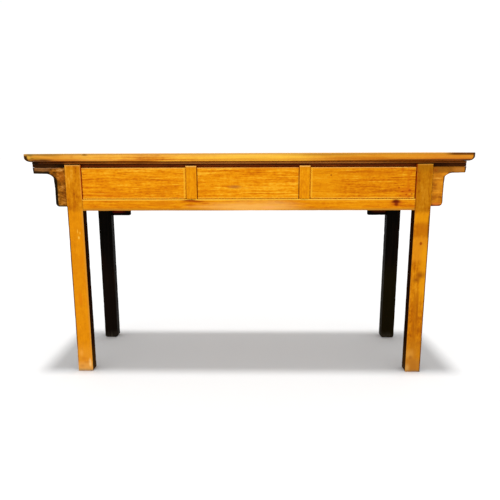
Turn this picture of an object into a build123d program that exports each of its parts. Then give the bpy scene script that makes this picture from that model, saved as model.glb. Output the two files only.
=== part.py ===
from build123d import *
import os

# Chinese altar table with three hidden drawers.
# Millimetres, +Z up. X runs along the table, the drawers open towards -Y.
# The origin is on the floor, under the centre of the table.

os.makedirs("parts", exist_ok=True)

# ------------------------------------------------------------------ overall size
TABLE_H = 850.0          # floor to top surface
TOP_L = 1630.0           # top, along X
TOP_D = 454.0            # top, along Y
LEG_SPAN_X = 1353.0      # outer face to outer face of the legs
LEG_SPAN_Y = 417.0       # front face of front legs to back face of back legs
LEG_W = 59.0             # leg section along X
LEG_D = 45.0             # leg section along Y

# ------------------------------------------------------------------ framed top
FRAME_T = 30.0           # thickness of the mitred frame
FRAME_W = 72.0           # width of its members
MOULD_FLAT = 13.0        # upright part of the moulded edge, from the top down
MOULD_IN = 16.5          # how far the moulded edge curves under
MOULD_BULGE = 4.8        # how far that curve stands proud of a straight slope
ARRIS = 2.0              # rounding at the top edge
PANEL_T = 13.0           # floating top boards
TONGUE_T = 6.0           # tongue of the boards
TONGUE_L = 8.0
GROOVE_L = 8.5
PANEL_GAP = 0.8          # shrinkage gap round the boards
BOARD_SEAM_Y = 21.0      # joint between the two boards

# ------------------------------------------------------------------ levels below the top surface
Z_SKIRT = 37.5           # underside of the skirt strips, top of the upper rails
Z_LIP = 39.5             # top of the front lips of the legs
Z_STILE = 44.5           # top of the front lips of the stiles
Z_URAIL = 50.0           # underside of the upper rails, top of the drawer openings
Z_ARM = 73.0             # underside of the spandrel arms and end aprons
Z_BRAIL = 167.0          # top of the bottom rails, bottom of the drawer openings
Z_UNDER = 210.0          # underside of the bottom rails
Z_TONGUE = 196.0         # lower end of the spandrel tongues
Z_BRACKET = 275.5        # lower end of the brackets inside the back legs

# ------------------------------------------------------------------ plan
ARM_X = 800.5            # half length of upper rails and spandrel arms
SKIRT_X = 795.0          # half length of the skirts
SKIRT_Y = 209.5          # outer face of the long skirts
SKIRT_W = 33.0
LIP_T = 16.0             # outer lip of the leg, in front of the upper rail
URAIL_T = 16.0           # upper rail, held in the slot of the leg
SPANDREL_T = 20.0
STILE_X = 209.0          # centre of the stiles between the drawers
STILE_W = 40.0
BRAIL_D = 40.0           # depth of the bottom rails
END_APRON_T = 18.0

# ------------------------------------------------------------------ drawers
DRAWER_RECESS = 4.5      # face of the drawer fronts behind the face of the legs
DRAWER_FRONT_T = 18.0
DRAWER_SIDE_T = 10.0
DRAWER_BOTTOM_T = 7.0
DRAWER_LAP = 7.0         # wood left in front of the half-blind dovetails
RUN = 0.5                # running clearance under a drawer
HEAD = 1.0               # clearance over a drawer front

# ------------------------------------------------------------------ derived
HX = TOP_L / 2
HY = TOP_D / 2
LX = LEG_SPAN_X / 2              # outer face of legs, X
LI = LX - LEG_W                  # inner face of legs, X
LY = LEG_SPAN_Y / 2              # outer face of legs, Y
LYI = LY - LEG_D                 # inner face of legs, Y
RY0 = LY - LIP_T                 # outer face of upper rails, Y
RY1 = RY0 - URAIL_T              # inner face of upper rails, Y
SY0 = RY1 + SPANDREL_T           # outer face of spandrels, Y


def up(below_top):
    """Height above the floor of a level given below the top surface."""
    return TABLE_H - below_top


def block(x0, x1, y0, y1, z0, z1, mode=Mode.ADD):
    """Square-edged block between two corners, in the piece being made."""
    with Locations(((x0 + x1) / 2, (y0 + y1) / 2, (z0 + z1) / 2)):
        Box(abs(x1 - x0), abs(y1 - y0), abs(z1 - z0), mode=mode)


def finish(piece, name):
    """Labels a finished piece and writes it."""
    piece.part.label = name
    export_step(piece.part, f"parts/{name}.step")


# ================================================================== mitred top frame
# Section of a frame member: flat top and back, moulded edge that curves under.
def edge_points(outer):
    """Key points of the moulded edge, as distances from the outer edge plane."""
    dx, dz = MOULD_IN, FRAME_T - MOULD_FLAT
    length = (dx * dx + dz * dz) ** 0.5
    mid_in = dx / 2 - MOULD_BULGE * dz / length
    mid_dn = MOULD_FLAT + dz / 2 + MOULD_BULGE * dx / length
    return {
        "top": (outer - ARRIS, up(0)),
        "arris": (outer - ARRIS * 0.2929, up(ARRIS * 0.2929)),
        "side": (outer, up(ARRIS)),
        "spring": (outer, up(MOULD_FLAT)),
        "mid": (outer - mid_in, up(mid_dn)),
        "under": (outer - MOULD_IN, up(FRAME_T)),
    }


EY = edge_points(HY)
EX = edge_points(HX)
TENON_END_X = HX - 15.0          # blind end of the mitre tenons
TENON_Y0, TENON_Y1 = HY - 68.0, HY - 40.0
TENON_Z0, TENON_Z1 = up(23.0), up(15.0)
BATTEN_END_X = 650.0             # battens over the ends of the case
BATTEN_END_W = 44.0
BATTEN_MID_W = 84.0              # battens over the stiles, also drawer kickers
BATTEN_TENON = 10.0

with BuildPart() as top_rail_front:
    with BuildSketch(Plane.YZ.offset(-HX)):
        with BuildLine():
            Polyline(
                (-EY["under"][0], EY["under"][1]),
                (-(HY - FRAME_W), up(FRAME_T)),
                (-(HY - FRAME_W), up(0)),
                (-EY["top"][0], EY["top"][1]),
            )
            ThreePointArc(
                (-EY["top"][0], EY["top"][1]),
                (-EY["arris"][0], EY["arris"][1]),
                (-EY["side"][0], EY["side"][1]),
            )
            Line((-EY["side"][0], EY["side"][1]), (-EY["spring"][0], EY["spring"][1]))
            ThreePointArc(
                (-EY["spring"][0], EY["spring"][1]),
                (-EY["mid"][0], EY["mid"][1]),
                (-EY["under"][0], EY["under"][1]),
            )
        make_face()
    extrude(amount=TOP_L)
    # 45 degree mitres at both ends
    with BuildSketch(Plane.XY.offset(up(FRAME_T) - 1)):
        with BuildLine():
            Polyline((HX + 5, -HY - 5), (HX + 5, -HY + FRAME_W + 1), (HX - FRAME_W - 1, -HY + FRAME_W + 1), (HX + 5, -HY - 5))
        make_face()
        with BuildLine():
            Polyline((-HX - 5, -HY - 5), (-HX - 5, -HY + FRAME_W + 1), (-HX + FRAME_W + 1, -HY + FRAME_W + 1), (-HX - 5, -HY - 5))
        make_face()
    extrude(amount=FRAME_T + 2, mode=Mode.SUBTRACT)
    # groove for the floating boards
    block(-HX, HX, -(HY - FRAME_W) - GROOVE_L, -(HY - FRAME_W) + 1, up(PANEL_T), up(PANEL_T - TONGUE_T), mode=Mode.SUBTRACT)
    # tenons through the mitres into the end members
    block(-TENON_END_X, -(HX - FRAME_W - 6), -TENON_Y1, -TENON_Y0, TENON_Z0, TENON_Z1)
    block(HX - FRAME_W - 6, TENON_END_X, -TENON_Y1, -TENON_Y0, TENON_Z0, TENON_Z1)
    # mortises for the battens
    for cx in (-BATTEN_END_X, -STILE_X, STILE_X, BATTEN_END_X):
        block(cx - 12, cx + 12, -(HY - FRAME_W) - BATTEN_TENON, -(HY - FRAME_W) + 1, up(26), up(16), mode=Mode.SUBTRACT)
    # mortises for the leg tenons
    for cx in (-(LX + LI) / 2, (LX + LI) / 2):
        block(cx - 20, cx + 20, -(LYI + 10.5), -(LYI + 2.5), up(FRAME_T) - 1, up(12), mode=Mode.SUBTRACT)
finish(top_rail_front, "top_rail_front")

with BuildPart() as top_rail_back:
    mirror(top_rail_front.part, about=Plane.XZ)
finish(top_rail_back, "top_rail_back")

with BuildPart() as top_end_left:
    with BuildSketch(Plane.XZ.offset(-HY)):
        with BuildLine():
            Polyline(
                (-EX["under"][0], EX["under"][1]),
                (-(HX - FRAME_W), up(FRAME_T)),
                (-(HX - FRAME_W), up(0)),
                (-EX["top"][0], EX["top"][1]),
            )
            ThreePointArc(
                (-EX["top"][0], EX["top"][1]),
                (-EX["arris"][0], EX["arris"][1]),
                (-EX["side"][0], EX["side"][1]),
            )
            Line((-EX["side"][0], EX["side"][1]), (-EX["spring"][0], EX["spring"][1]))
            ThreePointArc(
                (-EX["spring"][0], EX["spring"][1]),
                (-EX["mid"][0], EX["mid"][1]),
                (-EX["under"][0], EX["under"][1]),
            )
        make_face()
    extrude(amount=TOP_D)
    with BuildSketch(Plane.XY.offset(up(FRAME_T) - 1)):
        with BuildLine():
            Polyline((-HX - 5, -HY - 5), (-HX + FRAME_W + 1, -HY - 5), (-HX + FRAME_W + 1, -HY + FRAME_W + 1), (-HX - 5, -HY - 5))
        make_face()
        with BuildLine():
            Polyline((-HX - 5, HY + 5), (-HX + FRAME_W + 1, HY + 5), (-HX + FRAME_W + 1, HY - FRAME_W - 1), (-HX - 5, HY + 5))
        make_face()
    extrude(amount=FRAME_T + 2, mode=Mode.SUBTRACT)
    block(-(HX - FRAME_W) - GROOVE_L, -(HX - FRAME_W) + 1, -HY, HY, up(PANEL_T), up(PANEL_T - TONGUE_T), mode=Mode.SUBTRACT)
    block(-TENON_END_X, -(HX - FRAME_W - 6), -TENON_Y1, -TENON_Y0, TENON_Z0, TENON_Z1, mode=Mode.SUBTRACT)
    block(-TENON_END_X, -(HX - FRAME_W - 6), TENON_Y0, TENON_Y1, TENON_Z0, TENON_Z1, mode=Mode.SUBTRACT)
finish(top_end_left, "top_end_left")

with BuildPart() as top_end_right:
    mirror(top_end_left.part, about=Plane.YZ)
finish(top_end_right, "top_end_right")

# ================================================================== floating top boards
PX = HX - FRAME_W                # inner edge of the frame, X
PY = HY - FRAME_W                # inner edge of the frame, Y

with BuildPart() as top_board_front:
    block(-PX + PANEL_GAP, PX - PANEL_GAP, -PY + PANEL_GAP, BOARD_SEAM_Y - 0.2, up(PANEL_T), up(0))
    block(-PX - TONGUE_L, PX + TONGUE_L, -PY - TONGUE_L, BOARD_SEAM_Y - 0.2, up(PANEL_T), up(PANEL_T - TONGUE_T))
finish(top_board_front, "top_board_front")

with BuildPart() as top_board_back:
    block(-PX + PANEL_GAP, PX - PANEL_GAP, BOARD_SEAM_Y + 0.2, PY - PANEL_GAP, up(PANEL_T), up(0))
    block(-PX - TONGUE_L, PX + TONGUE_L, BOARD_SEAM_Y + 0.2, PY + TONGUE_L, up(PANEL_T), up(PANEL_T - TONGUE_T))
finish(top_board_back, "top_board_back")

# ================================================================== battens under the boards
with BuildPart() as top_batten_end_left:
    block(-BATTEN_END_X - BATTEN_END_W / 2, -BATTEN_END_X + BATTEN_END_W / 2, -PY, PY, up(Z_SKIRT), up(PANEL_T))
    block(-BATTEN_END_X - 12, -BATTEN_END_X + 12, -PY - BATTEN_TENON, PY + BATTEN_TENON, up(26), up(16))
finish(top_batten_end_left, "top_batten_end_left")

with BuildPart() as top_batten_end_right:
    mirror(top_batten_end_left.part, about=Plane.YZ)
finish(top_batten_end_right, "top_batten_end_right")

with BuildPart() as top_batten_mid_left:
    block(-STILE_X - BATTEN_MID_W / 2, -STILE_X + BATTEN_MID_W / 2, -PY, PY, up(Z_URAIL), up(PANEL_T))
    block(-STILE_X - 12, -STILE_X + 12, -PY - BATTEN_TENON, PY + BATTEN_TENON, up(26), up(16))
finish(top_batten_mid_left, "top_batten_mid_left")

with BuildPart() as top_batten_mid_right:
    mirror(top_batten_mid_left.part, about=Plane.YZ)
finish(top_batten_mid_right, "top_batten_mid_right")

# ================================================================== skirt strips under the frame
with BuildPart() as skirt_front:
    block(-SKIRT_X, SKIRT_X, -SKIRT_Y, -SKIRT_Y + SKIRT_W, up(Z_SKIRT), up(FRAME_T))
finish(skirt_front, "skirt_front")

with BuildPart() as skirt_back:
    mirror(skirt_front.part, about=Plane.XZ)
finish(skirt_back, "skirt_back")

with BuildPart() as skirt_left:
    block(-SKIRT_X, -SKIRT_X + SKIRT_W, -SKIRT_Y + SKIRT_W, SKIRT_Y - SKIRT_W, up(Z_SKIRT), up(FRAME_T))
finish(skirt_left, "skirt_left")

with BuildPart() as skirt_right:
    mirror(skirt_left.part, about=Plane.YZ)
finish(skirt_right, "skirt_right")

# ================================================================== upper rails, full length, through the slots of the legs
BACK_Y0, BACK_Y1 = 179.5, 189.5  # back panel, between its faces
BACK_TONGUE = 6.0

with BuildPart() as upper_rail_front:
    block(-ARM_X, ARM_X, -RY0, -RY1, up(Z_URAIL), up(Z_SKIRT))
finish(upper_rail_front, "upper_rail_front")

with BuildPart() as upper_rail_back:
    block(-ARM_X, ARM_X, RY1, RY0, up(Z_URAIL), up(Z_SKIRT))
    block(-LI - BACK_TONGUE, LI + BACK_TONGUE, BACK_Y0, BACK_Y1, up(Z_URAIL) - 1, up(45), mode=Mode.SUBTRACT)
finish(upper_rail_back, "upper_rail_back")

# ================================================================== end aprons, closing the overhang
with BuildPart() as end_apron_left:
    block(-ARM_X, -ARM_X + END_APRON_T, -RY1, RY1, up(Z_ARM), up(Z_SKIRT))
finish(end_apron_left, "end_apron_left")

with BuildPart() as end_apron_right:
    mirror(end_apron_left.part, about=Plane.YZ)
finish(end_apron_right, "end_apron_right")

# ================================================================== outer spandrels
# A short arm under the top, a cavetto, and a straight tongue down the side of the leg.
with BuildPart() as spandrel_front_left:
    with BuildSketch(Plane.XZ.offset(RY1)):
        with BuildLine():
            Polyline((-LX, up(Z_TONGUE) - 0.5), (-LX, up(Z_URAIL)), (-ARM_X, up(Z_URAIL)), (-ARM_X + 2.5, up(Z_ARM)), (-753.0, up(73.8)))
            ThreePointArc((-753.0, up(73.8)), (-737.2, up(77.5)), (-724.8, up(87.5)))
            ThreePointArc((-724.8, up(87.5)), (-722.8, up(123.0)), (-722.5, up(181.5)))
            ThreePointArc((-722.5, up(181.5)), (-718.4, up(191.7)), (-708.2, up(Z_TONGUE)))
            Line((-708.2, up(Z_TONGUE)), (-LX, up(Z_TONGUE) - 0.5))
        make_face()
    extrude(amount=SPANDREL_T)
    # tongue let into the leg
    block(-LX - 1, -LX + 8, -191, -182, up(187), up(58))
finish(spandrel_front_left, "spandrel_front_left")

with BuildPart() as spandrel_front_right:
    mirror(spandrel_front_left.part, about=Plane.YZ)
finish(spandrel_front_right, "spandrel_front_right")

with BuildPart() as spandrel_back_left:
    mirror(spandrel_front_left.part, about=Plane.XZ)
finish(spandrel_back_left, "spandrel_back_left")

with BuildPart() as spandrel_back_right:
    mirror(spandrel_back_left.part, about=Plane.YZ)
finish(spandrel_back_right, "spandrel_back_right")

# ================================================================== legs
# Straight posts. The head is slotted for the upper rail: a low outer lip stands in
# front of the rail, a taller inner lip behind it carries the tenon into the top frame.
PEG_R = 3.0
SIDE_PEG_Y, SIDE_PEG_Z = LYI + 9.0, up(192.0)
RAIL_PEG_X, RAIL_PEG_Z = LI + 14.5, up(197.0)
SIDE_PANEL_X0, SIDE_PANEL_X1 = 648.0, 660.0

with BuildPart() as leg_front_left:
    block(-LX, -LI, -LY, -LYI, 0, up(Z_URAIL))
    block(-LX, -LI, -LY, -RY0, up(Z_URAIL), up(Z_LIP))
    block(-LX, -LI, -RY1, -LYI, up(Z_URAIL), up(FRAME_T))
    block(-(LX + LI) / 2 - 20, -(LX + LI) / 2 + 20, -(LYI + 10.5), -(LYI + 2.5), up(FRAME_T), up(12))
    # mortise for the bottom rail
    block(-LI - 40, -LI, -196, -184, up(202), up(175), mode=Mode.SUBTRACT)
    # mortises for the lower and upper side rails, groove for the side panel
    block(-656, -645, -LYI - 18, -LYI, up(202), up(182), mode=Mode.SUBTRACT)
    block(-659, -648, -LYI - 18, -LYI, up(64), up(52), mode=Mode.SUBTRACT)
    block(-SIDE_PANEL_X1, -SIDE_PANEL_X0, -LYI - 6, -LYI, up(175), up(66), mode=Mode.SUBTRACT)
    # groove for the tongue of the outer spandrel
    block(-LX, -LX + 8, -191, -182, up(187), up(58), mode=Mode.SUBTRACT)
    # peg holes
    with Locations(Location((-LX, -SIDE_PEG_Y, SIDE_PEG_Z), (0, 90, 0))):
        Cylinder(PEG_R, 35.5, align=(Align.CENTER, Align.CENTER, Align.MIN), mode=Mode.SUBTRACT)
    with Locations(Location((-RAIL_PEG_X, -LYI, RAIL_PEG_Z), (90, 0, 0))):
        Cylinder(PEG_R, 35.5, align=(Align.CENTER, Align.CENTER, Align.MIN), mode=Mode.SUBTRACT)
finish(leg_front_left, "leg_front_left")

with BuildPart() as leg_front_right:
    mirror(leg_front_left.part, about=Plane.YZ)
finish(leg_front_right, "leg_front_right")

with BuildPart() as leg_back_left:
    mirror(leg_front_left.part, about=Plane.XZ)
    # grooves for the back panel and for the tongue of the bracket
    block(-LI - BACK_TONGUE, -LI, BACK_Y0, BACK_Y1, up(175), up(Z_URAIL), mode=Mode.SUBTRACT)
    block(-LI - 7, -LI, 181, 190, up(268), up(215), mode=Mode.SUBTRACT)
finish(leg_back_left, "leg_back_left")

with BuildPart() as leg_back_right:
    mirror(leg_back_left.part, about=Plane.YZ)
finish(leg_back_right, "leg_back_right")

# ================================================================== bottom rails
RUNNER_Z0, RUNNER_Z1 = up(191), up(Z_BRAIL)

with BuildPart() as bottom_rail_front:
    block(-LI, LI, -LY, -LY + BRAIL_D, up(Z_UNDER), up(Z_BRAIL))
    block(-LI - 40, LI + 40, -196, -184, up(202), up(175))
    # mortises for the stiles
    for cx in (-STILE_X, STILE_X):
        block(cx - 12, cx + 12, -200, -188, up(184), up(Z_BRAIL), mode=Mode.SUBTRACT)
        # and for the middle runners
        block(cx - 20, cx + 20, -LY + BRAIL_D - 15, -LY + BRAIL_D, up(185), up(175), mode=Mode.SUBTRACT)
    # mortises for the end runners
    block(-613, -590, -LY + BRAIL_D - 10, -LY + BRAIL_D, up(185), up(175), mode=Mode.SUBTRACT)
    block(590, 613, -LY + BRAIL_D - 10, -LY + BRAIL_D, up(185), up(175), mode=Mode.SUBTRACT)
    # peg holes through the tenons
    for cx in (-RAIL_PEG_X, RAIL_PEG_X):
        with Locations(Location((cx, -LYI, RAIL_PEG_Z), (90, 0, 0))):
            Cylinder(PEG_R, 35.5, align=(Align.CENTER, Align.CENTER, Align.MIN), mode=Mode.SUBTRACT)
finish(bottom_rail_front, "bottom_rail_front")

BRACKET_X = 533.5        # inner edge of the brackets inside the back legs

with BuildPart() as bottom_rail_back:
    block(-LI, LI, LY - BRAIL_D, LY, up(Z_UNDER), up(Z_BRAIL))
    block(-LI - 40, LI + 40, 184, 196, up(202), up(175))
    for cx in (-STILE_X, STILE_X):
        block(cx - 20, cx + 20, LY - BRAIL_D, LY - BRAIL_D + 15, up(185), up(175), mode=Mode.SUBTRACT)
    block(-613, -590, LY - BRAIL_D, LY - BRAIL_D + 10, up(185), up(175), mode=Mode.SUBTRACT)
    block(590, 613, LY - BRAIL_D, LY - BRAIL_D + 10, up(185), up(175), mode=Mode.SUBTRACT)
    # groove for the back panel
    block(-LI, LI, BACK_Y0, BACK_Y1, up(175), up(Z_BRAIL), mode=Mode.SUBTRACT)
    # grooves for the brackets
    for s in (-1, 1):
        block(s * 605, s * 540, 181, 190, up(Z_UNDER), up(201), mode=Mode.SUBTRACT)
    for cx in (-RAIL_PEG_X, RAIL_PEG_X):
        with Locations(Location((cx, LYI, RAIL_PEG_Z), (-90, 0, 0))):
            Cylinder(PEG_R, 35.5, align=(Align.CENTER, Align.CENTER, Align.MIN), mode=Mode.SUBTRACT)
finish(bottom_rail_back, "bottom_rail_back")

# ================================================================== stiles between the drawers
with BuildPart() as stile_left:
    block(-STILE_X - STILE_W / 2, -STILE_X + STILE_W / 2, -LY, -RY1, up(Z_BRAIL), up(Z_URAIL))
    block(-STILE_X - STILE_W / 2, -STILE_X + STILE_W / 2, -LY, -RY0, up(Z_URAIL), up(Z_STILE))
    block(-STILE_X - 12, -STILE_X + 12, -200, -188, up(184), up(Z_BRAIL))
finish(stile_left, "stile_left")

with BuildPart() as stile_right:
    mirror(stile_left.part, about=Plane.YZ)
finish(stile_right, "stile_right")

# ================================================================== sides of the case
with BuildPart() as side_rail_upper_left:
    block(-664.5, -642.5, -LYI, LYI, up(72), up(Z_SKIRT))
    block(-659, -648, -LYI - 18, LYI + 18, up(64), up(52))
    block(-SIDE_PANEL_X1, -SIDE_PANEL_X0, -LYI, LYI, up(72), up(66), mode=Mode.SUBTRACT)
finish(side_rail_upper_left, "side_rail_upper_left")

with BuildPart() as side_rail_upper_right:
    mirror(side_rail_upper_left.part, about=Plane.YZ)
finish(side_rail_upper_right, "side_rail_upper_right")

with BuildPart() as side_rail_lower_left:
    block(-664.5, -636.5, -LYI, LYI, up(Z_UNDER), up(Z_BRAIL))
    block(-656, -645, -LYI - 18, LYI + 18, up(202), up(182))
    block(-SIDE_PANEL_X1, -SIDE_PANEL_X0, -LYI, LYI, up(175), up(Z_BRAIL), mode=Mode.SUBTRACT)
    with Locations(
        Location((-LX, -SIDE_PEG_Y, SIDE_PEG_Z), (0, 90, 0)),
        Location((-LX, SIDE_PEG_Y, SIDE_PEG_Z), (0, 90, 0)),
    ):
        Cylinder(PEG_R, 35.5, align=(Align.CENTER, Align.CENTER, Align.MIN), mode=Mode.SUBTRACT)
finish(side_rail_lower_left, "side_rail_lower_left")

with BuildPart() as side_rail_lower_right:
    mirror(side_rail_lower_left.part, about=Plane.YZ)
finish(side_rail_lower_right, "side_rail_lower_right")

with BuildPart() as side_panel_left:
    block(-SIDE_PANEL_X1, -SIDE_PANEL_X0, -LYI - 6, LYI + 6, up(175), up(66))
finish(side_panel_left, "side_panel_left")

with BuildPart() as side_panel_right:
    mirror(side_panel_left.part, about=Plane.YZ)
finish(side_panel_right, "side_panel_right")

# ================================================================== back of the case
with BuildPart() as back_panel:
    block(-LI - BACK_TONGUE, LI + BACK_TONGUE, BACK_Y0, BACK_Y1, up(Z_BRAIL), up(45))
    block(-LI, LI, BACK_Y0, BACK_Y1, up(175), up(Z_BRAIL))
finish(back_panel, "back_panel")

# Brackets under the back rail, inside the back legs.
with BuildPart() as back_bracket_left:
    with BuildSketch(Plane.XZ.offset(-194.5)):
        with BuildLine():
            Polyline((-BRACKET_X - 6, up(Z_BRACKET)), (-LI, up(Z_BRACKET)), (-LI, up(Z_UNDER)), (-BRACKET_X + 24, up(Z_UNDER)), (-BRACKET_X + 24, up(213)))
            ThreePointArc((-BRACKET_X + 24, up(213)), (-BRACKET_X + 24 - 16.97, up(220.03)), (-BRACKET_X, up(237)))
            Line((-BRACKET_X, up(237)), (-BRACKET_X, up(Z_BRACKET) + 6))
            ThreePointArc((-BRACKET_X, up(Z_BRACKET) + 6), (-BRACKET_X - 1.757, up(Z_BRACKET) + 1.757), (-BRACKET_X - 6, up(Z_BRACKET)))
        make_face()
    extrude(amount=18)
    # tongues into the leg and the rail
    block(-LI - 7, -LI + 1, 181, 190, up(268), up(215))
    block(-605, -540, 181, 190, up(Z_UNDER) - 1, up(201))
finish(back_bracket_left, "back_bracket_left")

with BuildPart() as back_bracket_right:
    mirror(back_bracket_left.part, about=Plane.YZ)
finish(back_bracket_right, "back_bracket_right")

# ================================================================== drawer runners with their guides
with BuildPart() as runner_end_left:
    block(-636.5, -588, -LYI, LYI, RUNNER_Z0, RUNNER_Z1)
    block(-636.5, -LI, -LYI, LYI, RUNNER_Z1, up(149))
    block(-613, -590, -LYI - 15, LYI + 15, up(185), up(175))
finish(runner_end_left, "runner_end_left")

with BuildPart() as runner_end_right:
    mirror(runner_end_left.part, about=Plane.YZ)
finish(runner_end_right, "runner_end_right")

with BuildPart() as runner_mid_left:
    block(-STILE_X - 48, -STILE_X + 48, -LY + BRAIL_D, LY - BRAIL_D, RUNNER_Z0, RUNNER_Z1)
    block(-STILE_X - STILE_W / 2, -STILE_X + STILE_W / 2, -RY1, RY1, RUNNER_Z1, up(149))
    block(-STILE_X - 20, -STILE_X + 20, -LY + BRAIL_D - 15, LY - BRAIL_D + 15, up(185), up(175))
finish(runner_mid_left, "runner_mid_left")

with BuildPart() as runner_mid_right:
    mirror(runner_mid_left.part, about=Plane.YZ)
finish(runner_mid_right, "runner_mid_right")

# ================================================================== bamboo pegs that lock the rails in the legs
with BuildPart() as joint_pegs:
    with Locations(
        Location((-LX, -SIDE_PEG_Y, SIDE_PEG_Z), (0, 90, 0)),
        Location((-LX, SIDE_PEG_Y, SIDE_PEG_Z), (0, 90, 0)),
        Location((LX, -SIDE_PEG_Y, SIDE_PEG_Z), (0, -90, 0)),
        Location((LX, SIDE_PEG_Y, SIDE_PEG_Z), (0, -90, 0)),
        Location((-RAIL_PEG_X, -LYI, RAIL_PEG_Z), (90, 0, 0)),
        Location((RAIL_PEG_X, -LYI, RAIL_PEG_Z), (90, 0, 0)),
        Location((-RAIL_PEG_X, LYI, RAIL_PEG_Z), (-90, 0, 0)),
        Location((RAIL_PEG_X, LYI, RAIL_PEG_Z), (-90, 0, 0)),
    ):
        Cylinder(PEG_R, 35.5, align=(Align.CENTER, Align.CENTER, Align.MIN))
finish(joint_pegs, "joint_pegs")

# ================================================================== drawers
# name, left and right edge of the opening, gap at the left and at the right of the front
OPEN_MID = STILE_X - STILE_W / 2
OPEN_OUT = STILE_X + STILE_W / 2
DRAWERS = (
    ("drawer_left", -LI, -OPEN_OUT, 1.5, 0.6),
    ("drawer_middle", -OPEN_MID, OPEN_MID, 1.5, 0.9),
    ("drawer_right", OPEN_OUT, LI, 0.6, 1.5),
)
FY0 = -LY + DRAWER_RECESS                # face of the fronts
FY1 = FY0 + DRAWER_FRONT_T               # back of the fronts
DT = up(54.0)                            # top of sides and back
DB = up(Z_BRAIL) + RUN                   # underside of sides and front
BB = up(160.0)                           # underside of the bottom board
BT = BB + DRAWER_BOTTOM_T
DEND = 178.0                             # back end of the drawer
TAILS = (up(74.0), up(111.0), up(147.0)) # centres of the dovetails
TAIL_ROOT, TAIL_TIP = 11.0, 13.5         # half heights of a tail

for name, x_left, x_right, gap_left, gap_right in DRAWERS:
    a, b = x_left + gap_left, x_right - gap_right
    t = DRAWER_SIDE_T

    # left side: tails at both ends, groove for the bottom board
    with BuildPart() as side_left:
        block(a, a + t, FY1, DEND - t, DB, DT)
        with BuildSketch(Plane.YZ.offset(a)):
            for zc in TAILS:
                with BuildLine():
                    Polyline((FY1, zc - TAIL_ROOT), (FY1, zc + TAIL_ROOT), (FY0 + DRAWER_LAP, zc + TAIL_TIP), (FY0 + DRAWER_LAP, zc - TAIL_TIP), (FY1, zc - TAIL_ROOT))
                make_face()
            for zc in TAILS[:2]:
                with BuildLine():
                    Polyline((DEND - t, zc - TAIL_ROOT), (DEND - t, zc + TAIL_ROOT), (DEND, zc + TAIL_TIP), (DEND, zc - TAIL_TIP), (DEND - t, zc - TAIL_ROOT))
                make_face()
        extrude(amount=t)
        # tail under the back board, beside the open end of the groove
        block(a, a + t, DEND - t, DEND, DB, BT)
        block(a + t / 2, a + t, FY1 - 6, DEND, BB, BT, mode=Mode.SUBTRACT)
    finish(side_left, f"{name}_side_left")

    with BuildPart() as side_right:
        mirror(side_left.part, about=Plane.YZ.offset((a + b) / 2))
    finish(side_right, f"{name}_side_right")

    # bottom board, let into the front and the sides
    with BuildPart() as bottom:
        block(a + t / 2, b - t / 2, FY1 - 6, DEND, BB, BT)
    finish(bottom, f"{name}_bottom")

    # back board, over the bottom board, with sockets for the tails
    with BuildPart() as back:
        block(a, b, DEND - t, DEND, BT, DT)
        add(side_left.part, mode=Mode.SUBTRACT)
        add(side_right.part, mode=Mode.SUBTRACT)
    finish(back, f"{name}_back")

    # front, with half-blind sockets for the tails and a groove for the bottom board
    with BuildPart() as front:
        block(a, b, FY0, FY1, DB, up(Z_URAIL) - HEAD)
        add(side_left.part, mode=Mode.SUBTRACT)
        add(side_right.part, mode=Mode.SUBTRACT)
        add(bottom.part, mode=Mode.SUBTRACT)
    finish(front, f"{name}_front")
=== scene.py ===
import math

import bmesh
import bpy
import numpy as np
from mathutils import Matrix, Vector


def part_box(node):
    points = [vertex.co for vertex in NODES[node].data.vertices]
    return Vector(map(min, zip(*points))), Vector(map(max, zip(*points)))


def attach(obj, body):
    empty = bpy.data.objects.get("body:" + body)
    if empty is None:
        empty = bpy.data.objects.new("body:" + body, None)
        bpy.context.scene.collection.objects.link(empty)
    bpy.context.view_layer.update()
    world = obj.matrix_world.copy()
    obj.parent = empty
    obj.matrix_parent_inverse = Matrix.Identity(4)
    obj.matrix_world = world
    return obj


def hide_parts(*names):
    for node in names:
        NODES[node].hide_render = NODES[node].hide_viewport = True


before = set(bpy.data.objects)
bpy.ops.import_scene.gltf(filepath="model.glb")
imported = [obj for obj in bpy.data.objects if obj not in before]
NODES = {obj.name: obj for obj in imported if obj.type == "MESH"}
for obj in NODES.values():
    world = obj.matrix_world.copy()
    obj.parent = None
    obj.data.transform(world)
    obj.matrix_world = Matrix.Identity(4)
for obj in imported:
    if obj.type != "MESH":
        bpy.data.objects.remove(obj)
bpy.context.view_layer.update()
MM = 0.001

# ============================================================================ camera
# Fitted to the edges of the legs, the feet and the corners of the top.
CAM = Vector((14.488, -2062.634, 854.753)) * MM
YAW, PITCH, ROLL, FOCAL_PX = -0.0164, 0.1938, -0.0037, 500.1503
CENTRE_X = 243.8232      # where the optical axis meets the 500 px wide frame


def make_camera():
    forward = Vector((math.sin(YAW) * math.cos(PITCH), math.cos(YAW) * math.cos(PITCH), -math.sin(PITCH)))
    right = Vector((math.cos(YAW), -math.sin(YAW), 0))
    upward = right.cross(forward)
    r2 = math.cos(ROLL) * right + math.sin(ROLL) * upward
    u2 = -math.sin(ROLL) * right + math.cos(ROLL) * upward
    data = bpy.data.cameras.new("camera")
    data.sensor_fit = "HORIZONTAL"
    data.sensor_width = 36.0
    data.lens = FOCAL_PX * 36.0 / 500.0
    data.shift_x = (250.0 - CENTRE_X) / 500.0
    data.clip_start, data.clip_end = 0.05, 200.0
    camera = bpy.data.objects.new("camera", data)
    m = Matrix((r2, u2, -forward)).transposed().to_4x4()
    m.translation = CAM
    camera.matrix_world = m
    bpy.context.scene.collection.objects.link(camera)
    bpy.context.scene.camera = camera


make_camera()


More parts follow.
